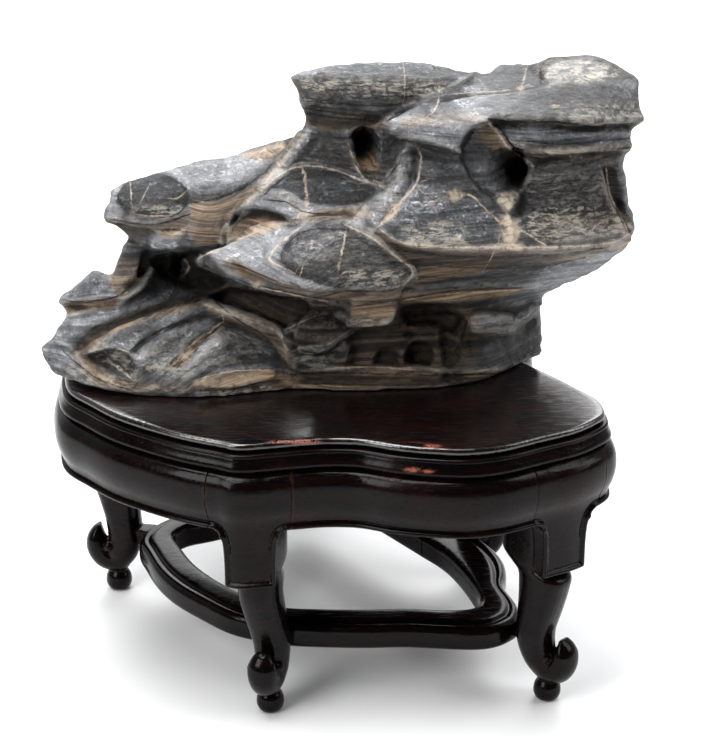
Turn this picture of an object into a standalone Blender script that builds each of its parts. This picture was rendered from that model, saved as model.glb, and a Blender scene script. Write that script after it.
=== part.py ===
"""Scholar's rock on a carved five-legged hardwood stand.

The stand is a lobed table: a flat top board, a moulded tier, a swelling apron
with a key-shaped panel dropping over each leg, cabriole legs that end in a
scroll on a ball, and a low stretcher that ties the legs together.  The rock is
one piece: lumps are blocked out as convex hulls, fused, and hollowed by scoops.
All dimensions are in millimetres; MM turns them into metres.  +Z is up and the
front of the stand faces -Y.
"""
import math

import bmesh
import bpy
from mathutils import Euler, Vector

MM = 0.001
GAP = 0.3                      # clearance kept between separate pieces

# ---- stand heights -------------------------------------------------------
TOP_Z = 193.0                  # face the rock sits on
BOARD_T = 6.0                  # top board thickness
TIER_T = 12.0                  # moulded tier under the board
APRON_BOTTOM = 137.0           # lower edge of the apron between the legs
PANEL_BOTTOM = 99.0            # lower edge of the panel over each leg
PANEL_HALF = 15.0              # half width of that panel
WALL_T = 9.0                   # apron and panel thickness
RING_BOTTOM = 33.0             # stretcher underside
RING_T = 17.0                  # stretcher height
FOOT_R = 8.5                   # ball foot radius

# ---- stand outlines (plan view, anchor points of closed smooth curves) ----
RIM = [
    (-160, -81), (-146, -98), (-130, -115), (-111, -129), (-89, -142), (-68, -151),
    (-54, -156), (-26, -151), (-6, -148), (14, -149), (34, -156), (52, -160), (75, -162),
    (96, -157), (117, -146), (139, -134), (154, -120), (158, -110), (155, -94), (143, -77),
    (130, -60), (119, -47), (110, -32), (108, -14), (113, 6), (116, 24), (109, 48),
    (91, 68), (67, 85), (47, 105), (33, 129), (15, 151), (-9, 162), (-39, 159), (-59, 142),
    (-76, 119), (-96, 99), (-122, 86), (-148, 72), (-164, 51), (-171, 30), (-167, 8),
    (-164, -14), (-166, -38), (-165, -61),
]
# stretcher: outer and inner outline
RING = [
    (-130, -4), (-125, -20), (-116, -44), (-103, -65), (-85, -84), (-68, -100), (-51, -108),
    (-32, -114), (14, -117), (43, -116), (73, -119), (91, -119), (102, -114), (111, -104),
    (113, -90), (109, -76), (104, -62), (107, -46), (106, -28), (98, -8), (84, 10), (64, 24),
    (43, 44), (24, 66), (7, 89), (-11, 108), (-37, 108), (-51, 91), (-63, 69), (-81, 49),
    (-103, 34), (-121, 18),
]
RING_HOLE = [
    (-107, 0), (-103, -12), (-94, -33), (-82, -51), (-67, -68), (-54, -80), (-43, -88),
    (-26, -93), (14, -94), (43, -93), (68, -95), (84, -92), (88, -80), (83, -60), (75, -38),
    (66, -20), (54, -4), (42, 12), (26, 33), (8, 57), (-10, 78), (-23, 86), (-33, 76),
    (-45, 56), (-62, 32), (-80, 19), (-98, 12),
]
# leg name: (foot centre, point of the rim its panel hangs from, facing in degrees,
# height at which the shaft starts to slide sideways towards its panel)
LEGS = {
    "front": ((-41, -131), (-51, -155), -18, 45),
    "right": ((129, -118), (134, -137), 45, 16),
    "right_rear": ((90, 33), (115, 25), 100, 30),
    "rear": ((-24, 133), (-24, 162), 180, 30),
    "left": ((-146, 19), (-171, 27), -98, 30),
}
LEG_ORDER = ("front", "right", "right_rear", "rear", "left")


def clear_scene():
    for ob in list(bpy.data.objects):
        bpy.data.objects.remove(ob, do_unlink=True)


def make_collection(name):
    col = bpy.data.collections.new(name)
    bpy.context.scene.collection.children.link(col)
    return col


def make_material(name, colour, roughness):
    mat = bpy.data.materials.new(name)
    mat.use_nodes = True
    bsdf = mat.node_tree.nodes["Principled BSDF"]
    bsdf.inputs["Base Color"].default_value = (*colour, 1.0)
    bsdf.inputs["Roughness"].default_value = roughness
    return mat


def add_object(name, bm, col):
    bmesh.ops.recalc_face_normals(bm, faces=bm.faces)
    me = bpy.data.meshes.new(name)
    bm.to_mesh(me)
    bm.free()
    ob = bpy.data.objects.new(name, me)
    col.objects.link(ob)
    return ob


def add_cutter(name, bm, col):
    ob = add_object(name, bm, col)
    ob.hide_render = True
    ob.display_type = "WIRE"
    return ob


def apply_modifiers(ob):
    """Swap the object's mesh for the result of its modifier stack."""
    graph = bpy.context.evaluated_depsgraph_get()
    me = bpy.data.meshes.new_from_object(ob.evaluated_get(graph))
    me.name = ob.name
    ob.modifiers.clear()
    ob.data = me


def boolean(ob, other, operation):
    mod = ob.modifiers.new(operation.lower(), "BOOLEAN")
    mod.operation = operation
    mod.solver = "EXACT"
    mod.use_self = True
    mod.object = other


class Outline:
    """Closed smooth curve through anchor points, addressed by arc length."""

    def __init__(self, anchors, per_span=10):
        n = len(anchors)
        pts = []
        for i in range(n):
            p0, p1, p2, p3 = (Vector(anchors[(i + k - 1) % n]) for k in range(4))
            for j in range(per_span):
                t = j / per_span
                pts.append(0.5 * (2 * p1 + (p2 - p0) * t + (2 * p0 - 5 * p1 + 4 * p2 - p3) * t ** 2
                                  + (3 * p1 - p0 - 3 * p2 + p3) * t ** 3))
        self.pts = pts
        self.cum = [0.0]
        for a, b in zip(pts, pts[1:] + pts[:1]):
            self.cum.append(self.cum[-1] + (b - a).length)
        self.length = self.cum[-1]

    def point(self, s):
        s %= self.length
        lo, hi = 0, len(self.pts)
        while hi - lo > 1:
            mid = (lo + hi) // 2
            lo, hi = (mid, hi) if self.cum[mid] <= s else (lo, mid)
        f = (s - self.cum[lo]) / (self.cum[lo + 1] - self.cum[lo])
        return self.pts[lo].lerp(self.pts[(lo + 1) % len(self.pts)], f)

    def offset(self, s, d):
        tangent = (self.point(s + 3) - self.point(s - 3)).normalized()
        return self.point(s) + Vector((tangent.y, -tangent.x)) * d

    def nearest(self, target):
        target = Vector(target)
        return min(range(int(self.length)), key=lambda s: (self.point(s) - target).length)


def loft(bm, sections, closed=False):
    """Skin a run of equal vertex loops; an open run gets an end cap at each end."""
    loops = [[bm.verts.new(Vector(p) * MM) for p in sec] for sec in sections]
    pairs = list(zip(loops, loops[1:]))
    if closed:
        pairs.append((loops[-1], loops[0]))
    for a, b in pairs:
        for i in range(len(a)):
            j = (i + 1) % len(a)
            bm.faces.new((a[i], a[j], b[j], b[i]))
    if not closed:
        bm.faces.new(loops[0])
        bm.faces.new(loops[-1][::-1])


def slab(name, outline, profile, step, col):
    """Lobed plate: the outline repeated at each (offset, height) of the profile."""
    bm = bmesh.new()
    n = round(outline.length / step)
    rings = [[(*outline.offset(outline.length * i / n, d), z) for i in range(n)]
             for d, z in profile]
    loft(bm, rings)
    return add_object(name, bm, col)


# ---- apron and panels ----------------------------------------------------
APRON_TOP = TOP_Z - BOARD_T - TIER_T - 2 * GAP
SWELL = [(APRON_TOP, 1.0), (171, 4.0), (166, 7.0), (158, 8.0), (150, 6.8), (144, 4.0)]
BEAD = [(5.0, 0.0), (3.4, 1.6), (1.2, 1.8), (0.0, 0.6)]       # height above edge, swelling
SHOULDER = [(24, APRON_BOTTOM), (20, 135.5), (17, 129), (15.5, 118), (PANEL_HALF, PANEL_BOTTOM),
            (12.5, PANEL_BOTTOM)]


def wall_section(outline, s, bottom, side_bead=0.0):
    """Cross-section of the carved wall at arc length s, as a closed loop."""
    rows = [(d, z) for z, d in SWELL]
    lower = 2.2 if bottom > APRON_BOTTOM - 8 else 1.0
    rows += [(lower + b + (side_bead if h == 5.0 else 0.0), bottom + h) for h, b in BEAD]
    rows += [(-WALL_T, bottom), (-WALL_T, APRON_TOP)]
    return [(*outline.offset(s, d), z) for d, z in rows]


def apron_rail(name, outline, s0, s1, col):
    bm = bmesh.new()
    n = max(2, round((s1 - s0) / 12))
    loft(bm, [wall_section(outline, s0 + (s1 - s0) * i / n, APRON_BOTTOM) for i in range(n + 1)])
    return add_object(name, bm, col)


# ---- legs ----------------------------------------------------------------
BLOCK_DEPTH, BLOCK_HALF = 34.0, 13.8          # square block behind each panel
# height, front face, back face (both outward from the foot centre), half width
SHAFT = [
    (93, 18, -15, 13.0), (84, 17.5, -14, 12.6), (68, 13, -14, 12.2), (52, 8, -15.5, 11.4),
    (38, 6, -16.5, 10.4), (26, 7, -13.5, 9.6), (18, 6.5, -8, 7.4), (12, 4, -4, 4.0),
]
# outward, height, radius of the scroll that curls up from the ankle
SCROLL = [(-4, 26, 9.0), (4, 23, 9.0), (10, 26, 8.8), (13, 32.5, 7.4), (13, 39.5, 5.4),
          (11.5, 46.5, 1.8)]
SCROLL_HALF = 8.8
BALL = [(0.5, 0), (0.86, 2), (1.0, 6), (0.98, 9.5), (0.75, 13.5), (0.45, 15.5)]      # radius ratio, height


def shaft(bm, reach, shift, turn_z):
    """Block and cabriole shaft; the top sits `shift` along the rim from the foot."""
    sections = []
    block = [(z, reach, reach - BLOCK_DEPTH, BLOCK_HALF) for z in (APRON_TOP - 1, 112)]
    block.append((103, reach - 1, reach - BLOCK_DEPTH + 4, BLOCK_HALF))
    for z, front, back, half in block + SHAFT:
        power = 0.5 if z > 100 else 0.8
        slide = shift * min(1.0, max(0.0, (z - turn_z) / 35))
        loop = []
        for i in range(8):
            a = 2 * math.pi * (i + 0.5) / 8
            c, s = math.cos(a), math.sin(a)
            x = (front + back) / 2 + (front - back) / 2 * math.copysign(abs(c) ** power, c)
            loop.append((x, slide + half * math.copysign(abs(s) ** power, s), z))
        sections.append(loop)
    loft(bm, sections)


def scroll(bm):
    sections = []
    for i, (x, z, r) in enumerate(SCROLL):
        nxt, prv = SCROLL[min(i + 1, len(SCROLL) - 1)], SCROLL[max(i - 1, 0)]
        side = Vector((nxt[1] - prv[1], prv[0] - nxt[0])).normalized()
        half = SCROLL_HALF * min(1.0, 0.35 + r / 9)
        sections.append([(x + side.x * r * math.cos(a), half * math.sin(a), z + side.y * r * math.cos(a))
                         for a in (2 * math.pi * k / 6 for k in range(6))])
    loft(bm, sections)


def leg(name, rim, ring, col):
    foot, target, facing, turn_z = LEGS[name]
    a = math.radians(facing)
    out, along = Vector((math.sin(a), -math.cos(a))), Vector((math.cos(a), math.sin(a)))
    s = rim.nearest(target)
    to_panel = rim.offset(s, -7) - Vector(foot)
    bm = bmesh.new()
    columns = [(-d, z) for d, z in SHOULDER] + [(0, PANEL_BOTTOM)] + [(d, z) for d, z in SHOULDER[::-1]]
    loft(bm, [wall_section(rim, s + d, z, 1.4 if abs(d) == PANEL_HALF else 0.0) for d, z in columns])
    body = add_object("leg_" + name, bm, col)

    def local_piece(suffix, build):
        bm = bmesh.new()
        build(bm)
        for v in bm.verts:
            p = Vector(foot) * MM + out * v.co.x + along * v.co.y
            v.co = (p.x, p.y, v.co.z)
        return add_cutter("leg_" + name + suffix, bm, CUTTERS)

    def ball(bm):
        loft(bm, [[(r * FOOT_R * math.cos(math.pi * k / 5), r * FOOT_R * math.sin(math.pi * k / 5), z)
                   for k in range(10)] for r, z in BALL])

    def tenon(bm):
        sections = []
        for y in (-5.5, 5.5):
            reach = 8.0
            while True:
                tip = Vector(foot) + along * y - out * (reach + GAP + 0.2)
                s = ring.nearest(tip)
                if (tip - ring.point(s)).dot(ring.offset(s, 1) - ring.point(s)) < 0 or reach > 30:
                    break
                reach += 0.25
            sections.append([(-6, y, 36), (-6, y, 46), (-reach, y, 46), (-reach, y, 36)])
        loft(bm, sections)

    def turned_shaft(bm):
        shaft(bm, to_panel.dot(out), to_panel.dot(along), turn_z)

    for suffix, build in (("_shaft", turned_shaft), ("_scroll", scroll), ("_ball", ball), ("_tenon", tenon)):
        boolean(body, local_piece(suffix, build), "UNION")
    apply_modifiers(body)
    bm = bmesh.new()
    bm.from_mesh(body.data)
    bmesh.ops.triangulate(bm, faces=bm.faces)
    bmesh.ops.remove_doubles(bm, verts=bm.verts, dist=0.08 * MM)
    bmesh.ops.dissolve_degenerate(bm, edges=bm.edges, dist=0.02 * MM)
    bmesh.ops.triangulate(bm, faces=bm.faces)
    bm.to_mesh(body.data)
    bm.free()
    return body, s


# ---- stretcher -----------------------------------------------------------
# share of the width from the outer face, height above the underside
RING_PROFILE = [(0.10, 0), (0.0, 6), (0.02, 12), (0.16, 15), (0.30, 15.5), (0.38, RING_T),
                (0.90, RING_T), (1.0, RING_T - 3), (1.0, 2), (0.90, 0)]


def ring_section(ring, hole, s):
    outer = ring.point(s)
    inner = hole.point(hole.nearest(outer))
    return [(*outer.lerp(inner, f), RING_BOTTOM + h) for f, h in RING_PROFILE]


def stretcher(name, ring, hole, s0, s1, col):
    bm = bmesh.new()
    n = max(3, round((s1 - s0) / 11))
    loft(bm, [ring_section(ring, hole, s0 + (s1 - s0) * i / n) for i in range(n + 1)])
    return add_object(name, bm, col)


def build_stand(col):
    rim, ring, hole = Outline(RIM), Outline(RING), Outline(RING_HOLE)
    parts = []
    bottom = TOP_Z - BOARD_T
    parts.append(slab("top_board", rim, [(-3, bottom), (-0.7, bottom + 0.6), (0, bottom + 2.6),
                                         (-0.6, TOP_Z - 1.2), (-2.6, TOP_Z)], 15, col))
    high = bottom - GAP
    parts.append(slab("moulded_tier", rim, [(-1, high - TIER_T), (3, high - TIER_T + 2.5),
                                            (4.4, high - 6), (2.6, high - 2.4), (-4, high)], 15, col))
    stations = []
    for name in LEG_ORDER:
        body, s = leg(name, rim, ring, col)
        parts.append(body)
        stations.append((name, s, ring.nearest(LEGS[name][0])))
    for (a, sa, ra), (b, sb, rb) in zip(stations, stations[1:] + stations[:1]):
        sb += rim.length if sb < sa else 0
        rb += ring.length if rb < ra else 0
        parts.append(apron_rail("apron_%s_to_%s" % (a, b), rim, sa + 24 + GAP, sb - 24 - GAP, col))
        parts.append(stretcher("stretcher_%s_to_%s" % (a, b), ring, hole, ra + GAP / 2, rb - GAP / 2, col))
    return parts


# ---- rock ----------------------------------------------------------------
ROCK_Z = TOP_Z + GAP
VOXEL = 3.2
ROCK_TRIANGLES = 3600
# corner points of each lump, hulled and fused
LUMPS = {
    "base": ((-28, -87, 190), (8, -89, 190), (56, -86, 190), (86, -76, 190), (111, -52, 190),
        (127, -29, 190), (126, -10, 220), (98, -45, 235), (56, -50, 238), (-22, -55, 228),
        (-28, -64, 217), (-6, 50, 194), (117, 55, 192), (-5, 5, 190), (114, 5, 190)),
    "fan_front": ((-178, -58, 207), (-171, -74, 199), (-146, -92, 198), (-125, -80, 190),
        (-83, -98, 190), (-60, -96, 190), (-26, -87, 190), (-134, -72, 217), (-124, -90, 208),
        (-78, -40, 230), (-51, -50, 223), (-36, -60, 217), (-26, -74, 198), (-169, -42, 221),
        (-125, -30, 229), (-81, -26, 232), (-68, 17, 190), (-143, 5, 190)),
    "fan_ridge": ((-169, -48, 223), (-79, -26, 233), (-113, -20, 246), (-84, -34, 233),
        (-143, -50, 223), (-178, -54, 208), (-77, 10, 211), (-113, 30, 210)),
    "peak": ((-147, -24, 248), (-170, -34, 232), (-128, -28, 234), (-167, -32, 220), (-139, -34, 223),
        (-148, 0, 223), (-130, 0, 216), (-169, -6, 218)),
    "pillar": ((-129, -28, 269), (-138, -34, 246), (-139, -36, 231), (-112, -30, 264),
        (-113, -34, 256), (-116, -40, 246), (-120, -40, 233), (-127, -2, 254), (-110, -2, 250),
        (-136, 2, 218), (-105, 6, 220)),
    "pillar2": ((-108, -24, 259), (-65, -24, 262), (-60, -24, 236), (-109, -20, 235), (-104, 10, 252),
        (-48, 10, 252), (-55, 16, 216), (-106, 16, 216)),
    "arm_end": ((-137, -50, 292), (-135, -52, 296), (-133, -48, 307), (-129, -42, 310),
        (-114, -40, 313), (-98, -30, 314), (-88, -54, 310), (-88, -58, 302), (-97, -64, 299),
        (-109, -66, 297), (-126, -62, 300), (-127, -46, 277), (-112, -50, 269), (-90, -56, 271),
        (-90, -62, 289), (-89, -10, 299), (-113, -14, 300), (-96, -16, 259), (-126, -16, 269)),
    "arm": ((-105, -36, 314), (-88, -56, 313), (-30, -8, 326), (-18, -6, 329), (-87, -64, 290),
        (-90, -58, 273), (-67, -68, 282), (-44, -60, 312), (-28, -34, 321), (-85, 20, 291),
        (-36, 40, 300), (-24, 50, 297), (-85, 10, 255), (-30, 40, 247)),
    "nose": ((-79, -110, 288), (-73, -108, 290), (-43, -90, 300), (-23, -94, 303), (5, -102, 306),
        (25, -110, 303), (42, -116, 285), (32, -120, 275), (-2, -134, 283), (-22, -132, 292),
        (-31, -126, 295), (-54, -110, 271), (-72, -110, 281), (-3, -112, 265), (37, -90, 255),
        (-22, -40, 266), (38, -30, 268), (26, -30, 229), (-46, -50, 262)),
    "ridge": ((-68, -80, 286), (-61, -78, 299), (-43, -70, 316), (-27, -58, 325), (-12, -58, 327),
        (37, -74, 314), (28, -94, 303), (5, -98, 304), (-43, -88, 298), (-56, -90, 289),
        (-16, -20, 322), (38, -20, 316), (-23, -10, 267), (32, -10, 267), (-5, 20, 281)),
    "column": ((-19, -30, 342), (-16, -40, 341), (-21, -44, 337), (-33, -50, 323), (-21, -54, 324),
        (31, -60, 315), (43, -56, 329), (37, -46, 343), (29, -38, 353), (-17, 20, 314), (39, 30, 317),
        (-23, 20, 301), (39, 30, 284)),
    "cap": ((-27, -20, 370), (-22, -30, 362), (-20, -30, 357), (-18, -26, 341), (2, -38, 373),
        (37, -42, 374), (74, -36, 373), (52, -42, 362), (28, -40, 353), (2, -10, 373), (29, -6, 374),
        (51, -6, 372), (82, -10, 367), (-19, -14, 371), (-5, 40, 333), (69, 40, 333), (50, 20, 358),
        (-11, 10, 331)),
    "slab_tip": ((28, -72, 359), (32, -74, 353), (61, -40, 364), (79, -16, 366), (101, 0, 368),
        (72, -90, 347), (78, -92, 363), (89, -94, 367), (95, -60, 368), (63, 10, 324), (95, 50, 330)),
    "slab": ((79, -16, 366), (99, 0, 368), (109, 6, 369), (122, 6, 367), (89, -92, 366),
        (130, -94, 366), (142, -92, 363), (82, -90, 367), (150, -90, 365), (157, -10, 369),
        (102, 60, 313), (164, 60, 320)),
    "slab_right": ((122, 4, 367), (131, 12, 370), (141, 16, 371), (155, 16, 371), (170, 10, 367),
        (178, 0, 363), (180, -6, 360), (181, -42, 347), (178, -48, 347), (150, -88, 361),
        (130, -92, 366), (118, -50, 370), (140, 68, 317), (176, 55, 328)),
    "band": ((83, -70, 354), (101, -84, 348), (131, -88, 345), (152, -82, 345), (173, -60, 339),
        (173, -52, 341), (152, -70, 351), (117, -76, 355), (101, 40, 327), (175, 40, 327),
        (176, 40, 300)),
    "wall": ((112, -70, 341), (129, -74, 342), (166, -50, 333), (169, -46, 326), (175, -62, 289),
        (107, -84, 297), (169, 30, 291), (165, 30, 251), (87, 10, 298)),
    "lip": ((37, -112, 302), (72, -110, 297), (101, -108, 296), (144, -98, 295), (172, -76, 287),
        (174, -72, 293), (172, -72, 281), (157, -58, 262), (141, -44, 246), (124, -32, 232),
        (86, -56, 240), (49, -80, 253), (42, -108, 280), (25, -102, 305), (48, -84, 315),
        (129, -90, 308), (167, -64, 299), (102, 30, 237), (164, 20, 245), (52, 30, 244),
        (127, 10, 218)),
    "facet_left": ((72, -86, 345), (26, -104, 306), (12, -94, 308), (40, -64, 339), (60, -74, 344),
        (94, -98, 312), (100, -104, 299), (37, -110, 301), (83, -80, 332), (50, 0, 315), (88, 10, 292),
        (57, 10, 259)),
    "stem": ((-22, -70, 251), (34, -80, 248), (44, -84, 260), (79, -64, 242), (124, -30, 232),
        (126, -16, 192), (99, -50, 218), (50, -62, 213), (2, -62, 223), (-12, 30, 196), (116, 40, 198),
        (-6, 40, 190), (116, 30, 190)),
    "nub": ((9, -94, 257), (34, -90, 254), (31, -88, 244), (11, -90, 243), (14, -50, 238),
        (32, -50, 238), (23, -50, 230)),
    "core_low": ((-75, -20, 235), (5, -34, 241), (8, -50, 204), (-27, -56, 192), (-59, -40, 213),
        (-89, 40, 198), (7, 45, 196), (1, 5, 190), (-68, 5, 190), (8, -86, 190)),
    "core_mid": ((-4, -46, 281), (49, -44, 338), (120, -44, 344), (132, -50, 302), (108, -66, 277),
        (38, -66, 257), (-4, -46, 242), (7, 55, 261), (127, 60, 306), (129, 55, 241), (14, 60, 204)),
    "core_top": ((26, -36, 352), (79, -26, 361), (96, -40, 342), (37, -40, 330), (32, 45, 322),
        (95, 55, 321)),
}
# hollows: centre, radii, rotation in degrees
SCOOPS = [
    ((16, -48, 335), (9, 20, 11), (0, 10, 0)),
    ((33, -56, 334), (7, 12, 12), (0, 20, 0)),
    ((5, -56, 355), (44, 16, 3), (0, -6, 0)),
    ((87, -90, 354), (10, 14, 10), (0, 35, 0)),
    ((100, -80, 335), (9, 20, 18), (0, -30, 0)),
    ((136, -94, 352), (40, 8, 2.5), (0, 2, 0)),
    ((140, -94, 325), (36, 22, 20), (0, 0, 0)),
    ((-36, -86, 249), (36, 24, 7), (0, 14, 0)),
    ((-10, -74, 230), (14, 12, 12), (0, 0, 0)),
    ((55, -86, 234), (26, 22, 12), (0, 0, 0)),
    ((29, -82, 219), (8, 10, 7), (0, 0, 0)),
    ((52, -80, 217), (11, 10, 8), (0, 0, 0)),
    ((81, -68, 216), (8, 12, 9), (0, 0, 0)),
    ((107, -52, 222), (14, 12, 8), (0, 20, 0)),
    ((-95, -32, 252), (7, 24, 7), (0, 0, 0)),
    ((-98, -30, 258), (22, 16, 4), (0, -10, 0)),
    ((-111, -70, 246), (60, 10, 3), (0, -12, 8)),
    ((-56, -86, 309), (26, 10, 5), (0, -40, 0)),
]


def build_rock(col):
    bm = bmesh.new()
    for corners in LUMPS.values():
        verts = [bm.verts.new(Vector(p) * MM) for p in corners]
        hull = bmesh.ops.convex_hull(bm, input=verts)
        inner = [v for v in hull["geom_interior"] if isinstance(v, bmesh.types.BMVert)]
        bmesh.ops.delete(bm, geom=inner, context="VERTS")
    rock = add_object("rock", bm, col)

    bm = bmesh.new()
    for centre, radii, turn in SCOOPS:
        ball = bmesh.ops.create_icosphere(bm, subdivisions=3, radius=1.0)["verts"]
        spin = Euler([math.radians(t) for t in turn]).to_matrix()
        for v in ball:
            v.co = (spin @ Vector([c * r for c, r in zip(v.co, radii)]) + Vector(centre)) * MM
    scoops = add_cutter("rock_scoops", bm, CUTTERS)
    bm = bmesh.new()
    bmesh.ops.create_cube(bm, size=0.6)
    bmesh.ops.translate(bm, verts=bm.verts, vec=(0, 0, ROCK_Z * MM - 0.3))
    bed = add_cutter("rock_bed", bm, CUTTERS)

    def voxels():
        mod = rock.modifiers.new("fuse", "REMESH")
        mod.mode = "VOXEL"
        mod.voxel_size = VOXEL * MM

    voxels()
    boolean(rock, scoops, "DIFFERENCE")
    voxels()
    soften = rock.modifiers.new("soften", "SMOOTH")
    soften.factor, soften.iterations = 0.5, 3
    apply_modifiers(rock)
    thin = rock.modifiers.new("thin", "DECIMATE")
    thin.ratio = ROCK_TRIANGLES / sum(len(p.vertices) - 2 for p in rock.data.polygons)
    boolean(rock, bed, "DIFFERENCE")
    apply_modifiers(rock)
    return rock


clear_scene()
OBJECT = make_collection("scholars_rock_on_stand")
CUTTERS = make_collection("cutters")
for piece in build_stand(OBJECT):
    piece.data.materials.clear()
    piece.data.materials.append(make_material("wood_" + piece.name, (0.035, 0.012, 0.009), 0.28))
stone = build_rock(OBJECT)
stone.data.materials.clear()
stone.data.materials.append(make_material("stone_rock", (0.12, 0.12, 0.12), 0.5))
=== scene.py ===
import math

import bmesh
import bpy
import numpy as np
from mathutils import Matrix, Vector


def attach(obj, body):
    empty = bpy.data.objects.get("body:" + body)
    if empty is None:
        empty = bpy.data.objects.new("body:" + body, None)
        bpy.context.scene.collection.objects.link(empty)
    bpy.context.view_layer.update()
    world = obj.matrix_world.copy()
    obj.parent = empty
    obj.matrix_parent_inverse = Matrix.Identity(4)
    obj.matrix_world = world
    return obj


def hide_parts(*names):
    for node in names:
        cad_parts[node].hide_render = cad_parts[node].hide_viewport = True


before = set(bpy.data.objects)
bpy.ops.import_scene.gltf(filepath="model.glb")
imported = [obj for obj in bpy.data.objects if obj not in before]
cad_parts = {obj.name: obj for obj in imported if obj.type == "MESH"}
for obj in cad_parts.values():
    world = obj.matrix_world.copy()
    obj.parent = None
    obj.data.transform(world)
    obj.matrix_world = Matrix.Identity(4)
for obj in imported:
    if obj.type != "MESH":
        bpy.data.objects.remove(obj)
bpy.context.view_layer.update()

MM = 0.001
CRACK = 0.04                   # hairline left between neighbouring pieces of the stand

# ---- camera, as fitted to the photograph -------------------------------------------
IMAGE = (720, 738)             # photograph's width and height in pixels
FOCAL_PX = 2600.0
PITCH = math.radians(25.0)
EYE = np.array((13.82, -1487.10, 861.81))
LOOK = np.array((0.0, math.cos(PITCH), -math.sin(PITCH)))
UP = np.array((0.0, math.sin(PITCH), math.cos(PITCH)))


def to_pixels(points):
    """Where points in millimetres appear in the photograph, and how far away they are."""
    rel = np.asarray(points, float) - EYE
    depth = rel @ LOOK
    x = IMAGE[0] / 2 + FOCAL_PX * rel[:, 0] / depth
    y = IMAGE[1] / 2 - FOCAL_PX * (rel @ UP) / depth
    return np.stack((x, y), 1), depth


# ---- stand dimensions, the same as the solids' -------------------------------------
TOP_Z = 193.0                  # top of the board, which carries the stone
BOARD_T = 6.0
TIER_T = 12.0
GAP = 0.3                      # between one solid and the next
APRON_TOP = TOP_Z - BOARD_T - TIER_T - 2 * GAP
APRON_BOTTOM = 137.0
PANEL_BOTTOM = 99.0
PANEL_HALF = 15.0
PANEL_REACH = 24.0             # half length of rim that is carved from the leg's own wood
PANEL_END = PANEL_REACH + 0.14
WALL_T = 9.0
RING_BOTTOM = 33.0
RING_T = 17.0
FOOT_R = 8.5
LEG_VOXEL = 0.6
LEG_TRIANGLES = 45000

# outlines seen from above: the board's rim, and the outer and inner edge of the ring between the legs
RIM = [
    (-160, -81), (-146, -98), (-130, -115), (-111, -129), (-89, -142), (-68, -151),
    (-54, -156), (-26, -151), (-6, -148), (14, -149), (34, -156), (52, -160), (75, -162),
    (96, -157), (117, -146), (139, -134), (154, -120), (158, -110), (155, -94), (143, -77),
    (130, -60), (119, -47), (110, -32), (108, -14), (113, 6), (116, 24), (109, 48),
    (91, 68), (67, 85), (47, 105), (33, 129), (15, 151), (-9, 162), (-39, 159), (-59, 142),
    (-76, 119), (-96, 99), (-122, 86), (-148, 72), (-164, 51), (-171, 30), (-167, 8),
    (-164, -14), (-166, -38), (-165, -61),
]
RING = [
    (-130, -4), (-125, -20), (-116, -44), (-103, -65), (-85, -84), (-68, -100), (-51, -108),
    (-32, -114), (14, -117), (43, -116), (73, -119), (91, -119), (102, -114), (111, -104),
    (113, -90), (109, -76), (104, -62), (107, -46), (106, -28), (98, -8), (84, 10), (64, 24),
    (43, 44), (24, 66), (7, 89), (-11, 108), (-37, 108), (-51, 91), (-63, 69), (-81, 49),
    (-103, 34), (-121, 18),
]
RING_HOLE = [
    (-107, 0), (-103, -12), (-94, -33), (-82, -51), (-67, -68), (-54, -80), (-43, -88),
    (-26, -93), (14, -94), (43, -93), (68, -95), (84, -92), (88, -80), (83, -60), (75, -38),
    (66, -20), (54, -4), (42, 12), (26, 33), (8, 57), (-10, 78), (-23, 86), (-33, 76),
    (-45, 56), (-62, 32), (-80, 19), (-98, 12),
]
# leg: (its foot, its place on the rim, facing in degrees, height above which the shaft leans to the rim)
LEGS = {
    "front": ((-41, -131), (-51, -155), -18, 45),
    "right": ((129, -118), (134, -137), 45, 16),
    "right_rear": ((90, 33), (115, 25), 100, 30),
    "rear": ((-24, 133), (-24, 162), 180, 30),
    "left": ((-146, 19), (-171, 27), -98, 30),
}
LEG_ORDER = ("front", "right", "right_rear", "rear", "left")


# ---- mesh helpers --------------------------------------------------------------------
def spline(points, steps, closed=False):
    """Catmull-Rom curve through points, `steps` samples to a span."""
    pts = np.asarray(points, float)
    if closed:
        pts = np.concatenate((pts[-1:], pts, pts[:2]))
    else:
        pts = np.concatenate((2 * pts[:1] - pts[1:2], pts, 2 * pts[-1:] - pts[-2:-1]))
    t = (np.arange(steps) / steps)[:, None]
    out = []
    for p0, p1, p2, p3 in zip(pts, pts[1:], pts[2:], pts[3:]):
        out.append(0.5 * (2 * p1 + (p2 - p0) * t + (2 * p0 - 5 * p1 + 4 * p2 - p3) * t ** 2
                          + (3 * p1 - p0 - 3 * p2 + p3) * t ** 3))
    if not closed:
        out.append(pts[-2:-1])
    return np.concatenate(out)


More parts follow.
